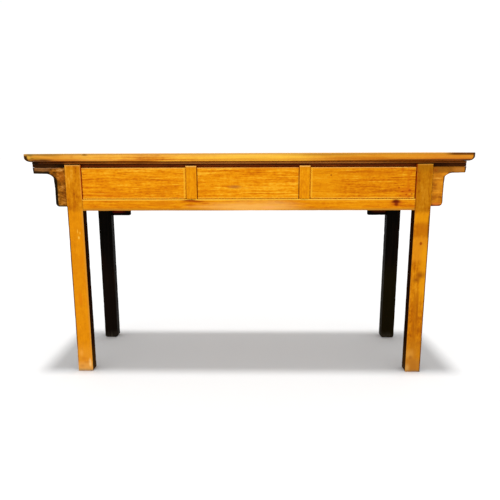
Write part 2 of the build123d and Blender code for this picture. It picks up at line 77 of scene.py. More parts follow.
# ============================================================================ colours
def lin(r, g, b):
    """A display colour, 0 to 255, as a linear one with alpha."""
    return tuple((c / 12.92 if c <= 0.04045 else ((c + 0.055) / 1.055) ** 2.4) for c in (r / 255, g / 255, b / 255)) + (1.0,)


def scaled(colour, k):
    return tuple(min(1.0, max(0.0, c * k)) for c in colour[:3]) + (1.0,)


# ============================================================================ node helper
class Tree:
    """A material's node tree, built by calls that return sockets."""

    def __init__(self, name):
        self.mat = bpy.data.materials.new(name)
        self.mat.use_nodes = True
        self.nt = self.mat.node_tree
        self.nt.nodes.clear()
        self.out = self.nt.nodes.new("ShaderNodeOutputMaterial")
        self.bsdf = self.nt.nodes.new("ShaderNodeBsdfPrincipled")
        self.nt.links.new(self.bsdf.outputs[0], self.out.inputs[0])
        self._xyz = {}

    def put(self, socket, value):
        if value is None:
            return
        if isinstance(value, bpy.types.NodeSocket):
            self.nt.links.new(value, socket)
        else:
            socket.default_value = value

    def math(self, op, a, b=None, c=None, clamp=False):
        n = self.nt.nodes.new("ShaderNodeMath")
        n.operation, n.use_clamp = op, clamp
        for i, v in enumerate((a, b, c)):
            self.put(n.inputs[i], v)
        return n.outputs[0]

    def add(self, a, b):
        return self.math("ADD", a, b)

    def sub(self, a, b):
        return self.math("SUBTRACT", a, b)

    def mul(self, a, b, clamp=False):
        return self.math("MULTIPLY", a, b, clamp=clamp)

    def madd(self, a, b, c, clamp=False):
        return self.math("MULTIPLY_ADD", a, b, c, clamp)

    def vec(self, op, a, b=None):
        n = self.nt.nodes.new("ShaderNodeVectorMath")
        n.operation = op
        self.put(n.inputs[0], a)
        if b is not None:
            self.put(n.inputs[1], b)
        return n.outputs["Value"] if op in ("LENGTH", "DISTANCE", "DOT_PRODUCT") else n.outputs[0]

    def combine(self, x, y, z):
        n = self.nt.nodes.new("ShaderNodeCombineXYZ")
        for i, v in enumerate((x, y, z)):
            self.put(n.inputs[i], v)
        return n.outputs[0]

    def xyz(self, v, i):
        key = id(v.node)
        if key not in self._xyz:
            n = self.nt.nodes.new("ShaderNodeSeparateXYZ")
            self.nt.links.new(v, n.inputs[0])
            self._xyz[key] = n
        return self._xyz[key].outputs[i]

    def place(self):
        if not hasattr(self, "_place"):
            self._place = self.nt.nodes.new("ShaderNodeTexCoord").outputs["Object"]
        return self._place

    def mapping(self, v, location, rotation, scale=(1, 1, 1)):
        n = self.nt.nodes.new("ShaderNodeMapping")
        self.nt.links.new(v, n.inputs["Vector"])
        n.inputs["Location"].default_value = location
        n.inputs["Rotation"].default_value = rotation
        n.inputs["Scale"].default_value = scale
        return n.outputs[0]

    def noise(self, v, scale=1.0, detail=2.0, rough=0.5, distortion=0.0, colour=False):
        n = self.nt.nodes.new("ShaderNodeTexNoise")
        n.noise_dimensions = "3D"
        self.nt.links.new(v, n.inputs["Vector"])
        n.inputs["Scale"].default_value = scale
        n.inputs["Detail"].default_value = detail
        n.inputs["Roughness"].default_value = rough
        n.inputs["Distortion"].default_value = distortion
        return n.outputs[1] if colour else n.outputs[0]

    def ramp(self, fac, stops, interpolation="LINEAR"):
        n = self.nt.nodes.new("ShaderNodeValToRGB")
        n.color_ramp.interpolation = interpolation
        e = n.color_ramp.elements
        while len(e) > 1:
            e.remove(e[-1])
        e[0].position, e[0].color = stops[0]
        for position, colour in stops[1:]:
            made = e.new(position)
            made.color = colour
        self.put(n.inputs[0], fac)
        return n.outputs[0]

    def smooth(self, v, a, b, lo=0.0, hi=1.0):
        n = self.nt.nodes.new("ShaderNodeMapRange")
        n.interpolation_type = "SMOOTHSTEP"
        self.put(n.inputs["Value"], v)
        for key, value in (("From Min", a), ("From Max", b), ("To Min", lo), ("To Max", hi)):
            self.put(n.inputs[key], value)
        return n.outputs[0]

    def mix(self, fac, a, b, blend="MIX"):
        n = self.nt.nodes.new("ShaderNodeMix")
        n.data_type, n.blend_type, n.clamp_factor = "RGBA", blend, True
        self.put(n.inputs[0], fac)
        self.put(n.inputs[6], a)
        self.put(n.inputs[7], b)
        return n.outputs[2]

    def mixf(self, fac, a, b):
        n = self.nt.nodes.new("ShaderNodeMix")
        n.data_type, n.clamp_factor = "FLOAT", True
        self.put(n.inputs[0], fac)
        self.put(n.inputs[2], a)
        self.put(n.inputs[3], b)
        return n.outputs[0]

    def attribute(self, name):
        n = self.nt.nodes.new("ShaderNodeAttribute")
        n.attribute_type = "GEOMETRY"
        n.attribute_name = name
        return n.outputs["Fac"]

    def bump(self, height, strength, distance):
        n = self.nt.nodes.new("ShaderNodeBump")
        n.inputs["Strength"].default_value = strength
        n.inputs["Distance"].default_value = distance
        self.nt.links.new(height, n.inputs["Height"])
        return n.outputs[0]


# ============================================================================ wood
TURN = {"X": (0.0, 0.0, 0.0), "Y": (0.0, 0.0, -math.pi / 2), "Z": (0.0, math.pi / 2, 0.0)}
ACROSS = {"X": (1, 2), "Y": (0, 2), "Z": (1, 0)}

def mask_of(t, P, limits, jitter):
    """Product of soft limits. limits are (axis letter or direction, low, high, softness) in mm."""
    mask = None
    for axis, lo, hi, soft in limits:
        place = t.xyz(P, "XYZ".index(axis)) if isinstance(axis, str) else t.vec("DOT_PRODUCT", P, axis)
        v = t.madd(jitter, soft * MM * 1.3, place)
        for edge, side in ((lo, 1), (hi, -1)):
            if edge is None:
                continue
            k = t.smooth(v, (edge - side * soft) * MM, (edge + side * soft) * MM)
            mask = k if mask is None else t.mul(mask, k)
    return mask


def wood(
    name,
    palette,
    grain="X",
    seed=0.0,
    tilt=0.0,
    gain=1.0,
    shade=0.5,
    pith=(0.08, 0.0),
    ring=0.008,
    rings=0.16,
    streaks=0.75,
    streak_size=(6.0, 105.0),
    fine=0.5,
    fleck=0.25,
    fibres=0.3,
    blotches=0.55,
    mottle=0.2,
    mottle_size=38.0,
    warp=0.004,
    wear=0.55,
    wear_hard=0.35,
    outline=None,
    spots=(),
    bands=(),
    rough=0.44,
    specular=0.10,
    tint=(1.0, 0.66, 0.25, 1.0),
    bump=0.5,
):
    """Varnished wood with growth rings round a pith line, streaks, flecks, fibres, pores and worn arrises.

    pith is the place of the rings' centre across the grain, in metres, in the two other axes. spots are
    stains and knots: (centre, radii, colour, strength, edge). bands are zones of another tone:
    (limits, colour, strength, blend), with the limits of mask_of. outline is a line of finish left along
    the arrises: (colour, strength, where it starts on the wear scale).
    """
    t = Tree(name)
    P = t.place()
    # into the grain's own frame: x along the grain
    G = t.mapping(P, (seed * 1.37 + 0.11, 0, 0), (TURN[grain][0], TURN[grain][1] + math.radians(tilt) * (grain == "Z"), TURN[grain][2] + math.radians(tilt) * (grain != "Z")))
    W = t.noise(t.vec("ADD", t.vec("MULTIPLY", G, (2.2, 11.0, 11.0)), (seed * 3.1, seed * 7.7, seed)), 1.0, 2.0, 0.45, colour=True)
    wob = t.vec("SUBTRACT", W, (0.5, 0.5, 0.5))
    G2 = t.vec("ADD", G, t.vec("MULTIPLY", wob, (0.0, warp * 4, warp * 4)))
    S = t.noise(t.vec("ADD", t.vec("MULTIPLY", G2, (streak_size[0], streak_size[1], streak_size[1])), (seed * 5.0, seed * 2.3, seed * 9.1)), 1.0, 2.0, 0.55)
    T = t.noise(t.vec("ADD", t.vec("MULTIPLY", G2, (streak_size[0] * 3.2, streak_size[1] * 2.5, streak_size[1] * 2.5)), (seed * 2.9, seed * 6.1, seed * 1.7)), 1.0, 2.0, 0.6)
    F = t.noise(t.vec("MULTIPLY", G2, (26.0, 620.0, 620.0)), 1.0, 2.0, 0.6)
    B = t.noise(t.vec("ADD", t.vec("MULTIPLY", G, (4.2, 12.0, 12.0)), (seed, seed * 4.3, seed * 1.9)), 1.0, 2.0, 0.55)
    K = t.noise(t.vec("ADD", t.vec("MULTIPLY", G, (95.0, 190.0, 190.0)), (seed * 1.3, seed * 3.7, seed)), 1.0, 1.0, 0.5)
    M = t.noise(t.vec("ADD", t.vec("MULTIPLY", G, (mottle_size * 0.8, mottle_size, mottle_size)), (seed * 2.1, seed * 1.1, seed * 3.3)), 1.0, 2.0, 0.6)
    Bc, Sc, Tc, Fc, Kc, Mc = t.sub(B, 0.5), t.sub(S, 0.5), t.sub(T, 0.5), t.sub(F, 0.5), t.sub(K, 0.5), t.sub(M, 0.5)
    # growth rings
    a, b = ACROSS[grain]
    pa = t.sub(t.xyz(P, a), pith[0])
    pb = t.sub(t.xyz(P, b), pith[1])
    R = t.vec("LENGTH", t.vec("ADD", t.combine(pa, pb, 0.0), t.vec("MULTIPLY", wob, (warp * 5, warp * 5, warp * 5))))
    q = t.madd(R, 1.0 / ring, t.mul(Sc, 1.3))
    frac = t.math("FRACT", q)
    late = t.mul(t.smooth(frac, 0.30, 0.86), t.smooth(frac, 1.0, 0.90))
    # tone
    tone = t.madd(t.sub(late, 0.33), -rings, shade)
    for part, amount in ((Sc, streaks), (Tc, fine), (Kc, fleck), (Fc, fibres), (Bc, blotches), (Mc, mottle)):
        if amount:
            tone = t.madd(part, amount, tone)
    colour = t.ramp(tone, [(p, scaled(c, gain)) for p, c in palette["tones"]])
    pores = t.smooth(F, 0.60, 0.72)
    colour = t.mix(t.mul(pores, 0.22), colour, scaled(palette["tones"][0][1], 0.7 * gain))
    jitter = t.add(Sc, Bc)
    for limits, band_colour, strength, blend in bands:
        colour = t.mix(t.mul(mask_of(t, P, limits, jitter), strength), colour, band_colour, blend)
    for centre, radii, spot_colour, strength, edge in spots:
        d = t.vec("MULTIPLY", t.vec("SUBTRACT", P, m_(centre)), tuple(1.0 / (r * MM) for r in radii))
        d = t.vec("LENGTH", d)
        d = t.madd(Sc, 0.9, t.madd(Bc, 0.7, d))
        m = t.smooth(d, 1.0, 1.0 - edge)
        colour = t.mix(t.mul(m, strength), colour, spot_colour)
    if wear:
        k = t.madd(Bc, 1.5, t.madd(Sc, 1.0, t.attribute("wear")))
        worn = t.smooth(k, wear_hard, wear_hard + 0.55)
        colour = t.mix(t.mul(worn, wear), colour, scaled(palette["worn"], gain))
    if outline:
        line_colour, strength, start = outline
        k = t.madd(Bc, 0.5, t.madd(Sc, 0.5, t.attribute("wear")))
        colour = t.mix(t.mul(t.smooth(k, start - 0.14, start + 0.14), strength), colour, line_colour)
    roughness = t.madd(Bc, 0.30, t.madd(Fc, 0.10, rough))
    t.put(t.bsdf.inputs["Base Color"], colour)
    t.put(t.bsdf.inputs["Roughness"], t.math("MINIMUM", t.math("MAXIMUM", roughness, 0.2), 0.9))
    t.bsdf.inputs["Specular IOR Level"].default_value = specular
    t.bsdf.inputs["Specular Tint"].default_value = tint
    height = t.madd(F, 0.55, t.madd(late, -0.25, S))
    t.put(t.bsdf.inputs["Normal"], t.bump(height, bump, 0.0006))
    return t.mat


def lacquer(
    name,
    grain="X",
    seed=0.0,
    tones=(lin(2, 2, 1), lin(13, 9, 6)),
    worn=lin(58, 42, 30),
    wear=0.4,
    hard=0.6,
    rough=0.62,
    specular=0.02,
    patches=0.35,
    patch_colour=lin(34, 14, 6),
    dust=None,
    bands=(),
    bump=0.5,
):
    """Old dark lacquer over wood: brush marks, thin reddish patches, scuffs, worn arrises."""
    t = Tree(name)
    P = t.place()
    G = t.mapping(P, (seed * 1.37 + 0.11, 0, 0), TURN[grain])
    S = t.noise(t.vec("ADD", t.vec("MULTIPLY", G, (3.0, 90.0, 90.0)), (seed * 5.0, seed * 2.3, seed * 9.1)), 1.0, 3.0, 0.62)
    B = t.noise(t.vec("ADD", t.vec("MULTIPLY", G, (5.0, 13.0, 13.0)), (seed, seed * 4.3, seed * 1.9)), 1.0, 3.0, 0.6)
    F = t.noise(t.vec("MULTIPLY", G, (30.0, 560.0, 560.0)), 1.0, 2.0, 0.6)
    Sc, Bc, Fc = t.sub(S, 0.5), t.sub(B, 0.5), t.sub(F, 0.5)
    colour = t.mix(t.smooth(t.madd(Fc, 0.5, t.add(Sc, 0.5)), 0.32, 0.72), tones[0], tones[1])
    if patches:
        colour = t.mix(t.mul(t.smooth(t.madd(Sc, 0.9, B), 0.50, 0.74), patches), colour, patch_colour)
    jitter = t.add(Sc, Bc)
    for limits, band_colour, strength, blend in bands:
        colour = t.mix(t.mul(mask_of(t, P, limits, jitter), strength), colour, band_colour, blend)
    k = t.madd(Bc, 1.8, t.madd(Sc, 1.4, t.attribute("wear")))
    colour = t.mix(t.mul(t.smooth(k, hard, hard + 0.45), wear), colour, worn)
    if dust:
        place, soft, strength, dust_colour = dust
        m = t.smooth(t.add(t.xyz(P, 2), t.mul(jitter, soft)), place + soft, place - soft)
        colour = t.mix(t.mul(t.mul(m, t.smooth(t.add(F, t.mul(Sc, 0.8)), 0.35, 0.65)), strength), colour, dust_colour)
    t.put(t.bsdf.inputs["Base Color"], colour)
    t.put(t.bsdf.inputs["Roughness"], t.math("MINIMUM", t.math("MAXIMUM", t.madd(Bc, 0.45, t.madd(Fc, 0.15, rough)), 0.3), 0.9))
    t.bsdf.inputs["Specular IOR Level"].default_value = specular
    t.bsdf.inputs["Specular Tint"].default_value = (1.0, 0.86, 0.75, 1.0)
    t.put(t.bsdf.inputs["Normal"], t.bump(t.madd(F, 0.5, S), bump, 0.0006))
    return t.mat


# ============================================================================ mesh code
def _hash(i, seed):
    h = (i[:, 0] * 374761393 + i[:, 1] * 668265263 + i[:, 2] * 2147483629 + seed * 1274126177) & 0xFFFFFFFF
    h = ((h ^ (h >> 13)) * 1274126177) & 0xFFFFFFFF
    h = ((h ^ (h >> 16)) * 2246822519) & 0xFFFFFFFF
    return ((h >> 8) & 0xFFFF) / 32767.5 - 1.0


def vnoise(p, per_m, seed):
    """Smooth noise from -1 to 1 at points p, in metres."""
    q = p * per_m + 1000.0
    i = np.floor(q).astype(np.int64)
    f = q - i
    f = f * f * (3 - 2 * f)
    out = np.zeros(len(p))
    for c in range(8):
        o = np.array([c & 1, (c >> 1) & 1, (c >> 2) & 1])
        w = np.prod(np.where(o, f, 1 - f), axis=1)
        out += w * _hash(i + o, seed)
    return out


def prism(outline, axis, a0, a1):
    """Solid with this outline, in mm, extruded along axis. The outline is in the two other axes, in the order XYZ."""
    bm = bmesh.new()
    k = "XYZ".index(axis)
    others = [i for i in range(3) if i != k]

    def vert(p, a):
        co = [0.0, 0.0, 0.0]
        co[k], co[others[0]], co[others[1]] = a * MM, p[0] * MM, p[1] * MM
        return bm.verts.new(co)

    lo = [vert(p, a0) for p in outline]
    hi = [vert(p, a1) for p in outline]
    n = len(outline)
    for i in range(n):
        j = (i + 1) % n
        bm.faces.new((lo[i], lo[j], hi[j], hi[i]))
    bm.faces.new(lo[::-1])
    bm.faces.new(hi)
    bmesh.ops.recalc_face_normals(bm, faces=bm.faces)
    return bm


def block(x0, x1, y0, y1, z0, z1):
    return prism([(y0, z0), (y1, z0), (y1, z1), (y0, z1)], "X", x0, x1)


def arc3(a, m, b, n):
    """n + 1 points on the arc from a through m to b."""
    a, m, b = (np.array(p, float) for p in (a, m, b))
    d = 2 * (a[0] * (m[1] - b[1]) + m[0] * (b[1] - a[1]) + b[0] * (a[1] - m[1]))
    ux = ((a @ a) * (m[1] - b[1]) + (m @ m) * (b[1] - a[1]) + (b @ b) * (a[1] - m[1])) / d
    uy = ((a @ a) * (b[0] - m[0]) + (m @ m) * (a[0] - b[0]) + (b @ b) * (m[0] - a[0])) / d
    c = np.array([ux, uy])
    r = np.linalg.norm(a - c)
    ta = math.atan2(a[1] - c[1], a[0] - c[0])
    tb = math.atan2(b[1] - c[1], b[0] - c[0])
    u, v = m - a, b - m
    if u[0] * v[1] - u[1] * v[0] > 0:
        while tb < ta:
            tb += 2 * math.pi
    else:
        while tb > ta:
            tb -= 2 * math.pi
    return [tuple(c + r * np.array([math.cos(ta + (tb - ta) * i / n), math.sin(ta + (tb - ta) * i / n)])) for i in range(n + 1)]


def from_cad(node):
    """The CAD node's own shape as clean faces."""
    bm = bmesh.new()
    bm.from_mesh(NODES[node].data)
    bmesh.ops.remove_doubles(bm, verts=bm.verts, dist=2e-6)
    bmesh.ops.dissolve_limit(bm, angle_limit=math.radians(0.6), use_dissolve_boundaries=False, verts=bm.verts, edges=bm.edges)
    return bm


def arrises(bm, test=None, angle=35.0):
    found = []
    for e in bm.edges:
        if len(e.link_faces) != 2:
            continue
        if e.calc_face_angle_signed(0.0) > math.radians(angle):
            if test is None or test(e.verts[0].co / MM, e.verts[1].co / MM):
                found.append(e)
    return found


def cut(bm, axis, places):
    k = "XYZ".index(axis)
    normal = [0.0, 0.0, 0.0]
    normal[k] = 1.0
    for p in places:
        co = [0.0, 0.0, 0.0]
        co[k] = p * MM
        bmesh.ops.bisect_plane(bm, geom=list(bm.verts) + list(bm.edges) + list(bm.faces), dist=1e-7, plane_co=co, plane_no=normal)


def spaced(lo, hi, inset, step):
    """Cut places between two faces: one row beside each arris, and even rows between them."""
    length = hi - lo
    if length < inset * 2.4:
        return []
    inner = length - 2 * inset
    n = max(1, round(inner / step))
    return [lo + inset + inner * i / n for i in range(n + 1)]


def worn_piece(
    name,
    body,
    bm,
    mats,
    replaces,
    bevel=1.6,
    segments=3,
    steps=(14, 14, 14),
    inset=6.0,
    wear=0.45,
    nicks=10,
    nick=0.7,
    sway=0.22,
    reach=4.5,
    seed=1,
    test=None,
    pick=None,
    more=None,
    keep_flat=None,
    boost=None,
):
    """Bevels a shape's arrises, divides its faces and wears it: arrises lose wood unevenly and faces wave a little, always inwards."""
    sharp = arrises(bm, test)
    segs = np.array([[v.co[:] for v in e.verts] for e in sharp]) if sharp else np.zeros((0, 2, 3))
    if sharp and bevel:
        bmesh.ops.bevel(bm, geom=sharp, offset=bevel * MM, offset_type="OFFSET", segments=segments, profile=0.5, affect="EDGES", clamp_overlap=True)
    co = np.array([v.co[:] for v in bm.verts])
    lo, hi = co.min(0) / MM, co.max(0) / MM
    for i, axis in enumerate("XYZ"):
        if steps[i]:
            cut(bm, axis, spaced(lo[i], hi[i], inset, steps[i]))
    if more:
        for axis, places in more.items():
            cut(bm, axis, places)
    bmesh.ops.remove_doubles(bm, verts=bm.verts, dist=1e-6)
    big = [f for f in bm.faces if len(f.verts) > 4]
    if big:
        bmesh.ops.triangulate(bm, faces=big)
    bmesh.ops.recalc_face_normals(bm, faces=bm.faces)
    bm.normal_update()
    bm.verts.ensure_lookup_table()
    co = np.array([v.co[:] for v in bm.verts])
    no = np.array([v.normal[:] for v in bm.verts])
    near = np.full(len(co), 1e9)
    along = np.zeros((len(co), 3))
    for p0, p1 in segs:
        d = p1 - p0
        s = np.clip(((co - p0) @ d) / max(d @ d, 1e-12), 0, 1)
        foot = p0 + s[:, None] * d
        dist = np.linalg.norm(co - foot, axis=1)
        closer = dist < near
        near[closer] = dist[closer]
        along[closer] = foot[closer]
    band = np.clip(1 - near / (reach * MM), 0, 1)
    band = band * band * (3 - 2 * band)
    slow = vnoise(co, 9.0, seed)
    quick = vnoise(co, 45.0, seed + 3)
    loss = band * np.clip(0.45 + 0.55 * slow + 0.35 * quick, 0.05, 1.3) * wear
    rng = np.random.default_rng(seed * 7 + 5)
    if len(segs) and nicks:
        lengths = np.linalg.norm(segs[:, 1] - segs[:, 0], axis=1)
        share = lengths / lengths.sum()
        for _ in range(nicks):
            k = rng.choice(len(segs), p=share)
            centre = segs[k, 0] + (segs[k, 1] - segs[k, 0]) * rng.random()
            size = (3.5 + 9.0 * rng.random() ** 2) * MM
            depth = nick * (0.35 + 0.65 * rng.random())
            r = np.linalg.norm(co - centre, axis=1) / size
            loss += depth * np.clip(1 - r * r, 0, 1) * band
    sunk = sway * (0.5 + 0.5 * vnoise(co, 5.5, seed + 11)) + 0.3 * sway * (0.5 + 0.5 * vnoise(co, 26.0, seed + 12))
    if keep_flat is not None:
        sunk = sunk * keep_flat(co / MM)
        loss = loss * keep_flat(co / MM)
    new = co - no * ((loss + sunk) * MM)[:, None]
    for v, p in zip(bm.verts, new):
        v.co = p
    mesh = bpy.data.meshes.new(name)
    bm.normal_update()
    bm.to_mesh(mesh)
    bm.free()
    value = band * np.clip(0.75 + 0.35 * slow + 0.4 * quick, 0.2, 1.2)
    if boost is not None:
        value = value * boost(co / MM, no)
    attribute = mesh.attributes.new("wear", "FLOAT", "POINT")
    attribute.data.foreach_set("value", value.astype(np.float32))
    for p in mesh.polygons:
        p.use_smooth = True
    for m in mats:
        mesh.materials.append(m)
    if pick is not None:
        for p in mesh.polygons:
            p.material_index = pick(p.center / MM, p.normal)
    obj = bpy.data.objects.new(name, mesh)
    bpy.context.scene.collection.objects.link(obj)
    w = obj.modifiers.new("weighted_normal", "WEIGHTED_NORMAL")
    w.mode, w.weight, w.keep_sharp = "FACE_AREA", 50, False
    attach(obj, body)
    if replaces:
        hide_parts(*replaces)
    return obj


# ============================================================================ dimensions, mm
H = 850.0
HX, HY = 815.0, 227.0
FRAME_T, FRAME_W = 30.0, 72.0
LX, LI = 676.5, 617.5
LY, LYI = 208.5, 163.5
RY0, RY1 = 192.5, 176.5
SY0 = 196.5
ARX = 800.5
SKX, SKY, SKW = 795.0, 209.5, 33.0
STX, STW = 209.0, 40.0
ZS, ZL, ZH, ZU, ZA, ZB, ZN, ZT, ZK = 37.5, 39.5, 44.5, 50.0, 73.0, 167.0, 210.0, 196.0, 275.5


def up(z):
    return H - z


# ============================================================================ materials by piece
def m_(p):
    return tuple(c * MM for c in p)


MAT = {}


def tones(*colours, worn):
    places = (0.0, 0.28, 0.5, 0.72, 1.0)
    return {"tones": [(p, lin(*c)) for p, c in zip(places, colours)], "worn": lin(*worn)}


HONEY = tones((188, 92, 1), (217, 121, 2), (232, 142, 4), (242, 158, 12), (251, 184, 44), worn=(252, 178, 58))
LEG = tones((158, 80, 0), (190, 104, 1), (208, 124, 3), (221, 138, 10), (238, 162, 40), worn=(226, 152, 56))
GOLD = tones((190, 104, 14), (222, 142, 34), (238, 164, 44), (247, 182, 54), (254, 204, 76), worn=(250, 190, 88))
BROWN = tones((70, 30, 2), (104, 52, 6), (134, 70, 14), (152, 86, 24), (178, 110, 44), worn=(176, 116, 56))
# RECESS: a dark red-brown, partly painted shade for the upper rail recessed under the skirt
RECESS = tones((66, 14, 1), (92, 28, 2), (112, 40, 4), (130, 52, 7), (160, 80, 18), worn=(140, 70, 22))
GREY_BROWN = tones((70, 38, 10), (108, 66, 24), (138, 90, 40), (160, 106, 54), (196, 134, 88), worn=(186, 130, 84))
OLIVE_DARK = tones((72, 36, 2), (110, 60, 5), (142, 82, 12), (168, 106, 32), (198, 142, 74), worn=(190, 130, 70))
OLIVE_BROWN = tones((120, 62, 4), (156, 86, 10), (182, 108, 16), (200, 124, 22), (220, 150, 44), worn=(206, 136, 74))

# ---- top
EDGE = [("Y", None, 0, 5), ("Z", None, up(0.9), 0.3)]
TOP_BANDS = [
    # tone along the front edge, partly painted light: a painted pool of light makes it paler in the middle, duller
    # towards the left end, plainer orange towards the right one
    ([("X", None, -520, 160)] + EDGE, lin(214, 142, 46), 0.6, "MIX"),
    ([("X", -200, 260, 150)] + EDGE, lin(255, 202, 66), 0.7, "MIX"),
    ([("X", None, 150, 150), ("Z", up(13), up(4), 2.0)], lin(255, 194, 90), 0.3, "MIX"),
    ([("X", 300, 520, 60), ("Z", up(20), up(13.5), 2.0)], lin(172, 92, 2), 0.75, "MIX"),
    ([("X", -620, -420, 50), ("Z", up(24), up(18), 2.0)], lin(252, 184, 96), 0.35, "MIX"),
    ([("X", None, -640, 60)] + EDGE, lin(214, 138, 40), 0.5, "MIX"),
    ([("X", 250, None, 190)] + EDGE, lin(212, 130, 26), 0.66, "MIX"),
    ([("X", 650, None, 90)] + EDGE, lin(208, 126, 34), 0.5, "MIX"),
    # painted shade: the top face is darkened so the overhead lamp lifts it no brighter than the front
    ([("Z", up(0.9), None, 0.3)], lin(222, 214, 205), 1.0, "MULTIPLY"),
    # a dull line along the top arris; painted shade on the lower curve of the moulding, which faces down, and at its
    # two tips; dark lines at the mitres
    ([("Y", None, -(HY - 5), 1.5), ("Z", up(4.6), None, 1.3)], lin(190, 140, 66), 0.85, "MIX"),
    ([("Y", None, -(HY - 5), 1.5), ("Z", up(4.4), None, 1.6), ("X", None, -560, 110)], lin(170, 130, 60), 0.7, "MIX"),
    ([("Y", None, -(HY - 5), 1.5), ("Z", up(7.6), None, 2.6), ("X", -800, -740, 24)], lin(150, 112, 44), 0.6, "MIX"),
    ([("Y", None, -(HY - 5), 1.5), ("Z", up(5.6), None, 1.5), ("X", 200, None, 60)], lin(190, 134, 50), 0.85, "MIX"),
    ([("Y", None, -(HY - 5), 1.5), ("Z", up(9.6), up(4.6), 1.5), ("X", 150, 400, 90)], lin(176, 118, 30), 0.6, "MIX"),
    ([("Y", None, -(HY - 5), 1.5), ("Z", up(8.6), None, 1.6), ("X", 716, None, 26)], lin(92, 42, 2), 0.92, "MIX"),
    # painted shade: dark red-brown to near black where the moulding curves under, darkest at the tips
    ([("Y", None, -(HY - 30), 2), ("Z", None, up(25.4), 1.2), ("X", 270, None, 130)], lin(120, 56, 3), 0.85, "MIX"),
    ([("Y", None, -(HY - 30), 2), ("Z", None, up(23.6), 1.2), ("X", 470, None, 110)], lin(86, 32, 0), 0.93, "MIX"),
    ([("Y", None, -(HY - 12), 2), ("Z", up(24), up(19.5), 1.4)], lin(222, 178, 150), 0.6, "MULTIPLY"),
    ([("Y", None, -(HY - 30), 2), ("Z", None, up(27.4), 0.9)], lin(134, 66, 4), 0.9, "MIX"),
    ([("Y", None, -(HY - 30), 2), ("Z", None, up(25.5), 1.1), ("X", None, -400, 170)], lin(96, 32, 0), 0.94, "MIX"),
    ([("Y", None, -(HY - 30), 2), ("Z", None, up(24.0), 1.3), ("X", None, -770, 10)], lin(36, 8, 1), 0.96, "MIX"),
    ([("Y", None, -(HY - 30), 2), ("Z", None, up(24.6), 1.2), ("X", 776, None, 8)], lin(58, 24, 1), 0.96, "MIX"),
    ([("X", None, -790, 6), ("Z", None, up(12), 5)], lin(160, 112, 34), 0.7, "MIX"),
    ([((1, -1, 0), None, -576.0, 2.2), ("Z", None, up(7), 4), ("Y", None, 0, 5)], lin(40, 14, 1), 0.96, "MIX"),
    ([((-1, -1, 0), None, -581.5, 1.6), ("Y", None, 0, 5)], lin(54, 22, 2), 0.95, "MIX"),
]
MAT["top_rail_wood"] = wood("top_rail_wood", GOLD, "X", seed=1.0, pith=(-0.20, 0.72), wear=0.12, streaks=1.0, fine=0.95, fleck=0.5, fibres=0.5, mottle=0.5, blotches=0.8, bands=TOP_BANDS, tint=(1.0, 0.7, 0.3, 1.0),
                            spots=[((-752, -222, 825), (60, 30, 12), lin(86, 44, 3), 0.92, 0.95), ((-772, -222, 836), (26, 30, 5), lin(190, 140, 36), 0.75, 0.9), ((-792, -224, 845), (16, 30, 8), lin(128, 104, 44), 0.75, 0.9), ((-786, -224, 833), (11, 30, 4.5), lin(148, 104, 30), 0.75, 0.85), ((-764, -224, 830), (12, 30, 4), lin(170, 114, 26), 0.7, 0.85), ((-796, -226, 837), (9, 30, 7), lin(240, 190, 70), 0.55, 0.85), ((-700, -226, 838), (24, 30, 4), lin(204, 132, 36), 0.6, 0.85),
                                   ((-716, -227, 845), (50, 8, 7), lin(126, 88, 24), 0.5, 0.9), ((-592, -227, 847), (18, 8, 8), lin(128, 84, 20), 0.85, 0.9), ((-640, -224, 838), (10, 8, 12), lin(190, 116, 34), 0.5, 0.95)])
MAT["top_end_wood"] = wood("top_end_wood", GOLD, "Y", seed=2.3, gain=0.8, pith=(0.7, 0.70), wear=0.5)
# the boards take darker copies of the gold finish (gain 0.74, 0.71): painted shade, so their top faces look no brighter
# than the front under the overhead lamp
MAT["top_board_wood"] = wood("top_board_wood", GOLD, "X", seed=3.1, gain=0.74, pith=(-0.05, 0.74), ring=0.010, rings=0.3, warp=0.008, wear=0.3)
MAT["top_board_wood_2"] = wood("top_board_wood_2", GOLD, "X", seed=4.7, gain=0.71, pith=(0.12, 0.70), ring=0.010, rings=0.3, warp=0.008, wear=0.3)
# the skirt's first band is painted shadow: a dark line along its bottom edge, above the recessed upper rail
MAT["skirt_long_wood"] = wood("skirt_long_wood", BROWN, "X", seed=5.2, gain=1.5, pith=(-0.12, 0.80), ring=0.006, wear=0.3,
                              bands=[([("Z", None, up(ZS - 2), 0.8)], lin(60, 22, 2), 0.8, "MIX"), ([("X", -300, 480, 120)], lin(196, 128, 60), 0.45, "MIX"), ([("X", None, -676, 8)], lin(54, 18, 2), 0.82, "MIX"), ([("X", 676, None, 8)], lin(96, 46, 8), 0.74, "MIX"), ([("X", None, -771, 4)], lin(16, 6, 2), 0.9, "MIX")])
MAT["skirt_end_wood"] = wood("skirt_end_wood", BROWN, "Y", seed=6.2, gain=0.7, pith=(0.6, 0.80), ring=0.006, wear=0.3)
# upper rail: its bands paint the shadow line under the skirt and the deep shade above the spandrel arms, near black at
# the left end
MAT["upper_rail_wood"] = wood("upper_rail_wood", RECESS, "X", seed=6.9, pith=(-0.12, 0.78), ring=0.006, wear=0.15,
                              bands=[([("Z", up(ZS + 5), None, 1.0)], lin(40, 8, 0), 0.7, "MIX"), ([("X", None, -676, 6)], lin(9, 0, 0), 1.0, "MIX"), ([("X", 676, None, 6)], lin(36, 6, 0), 0.93, "MIX"), ([("X", None, -771, 4)], lin(5, 1, 0), 1.0, "MIX")])

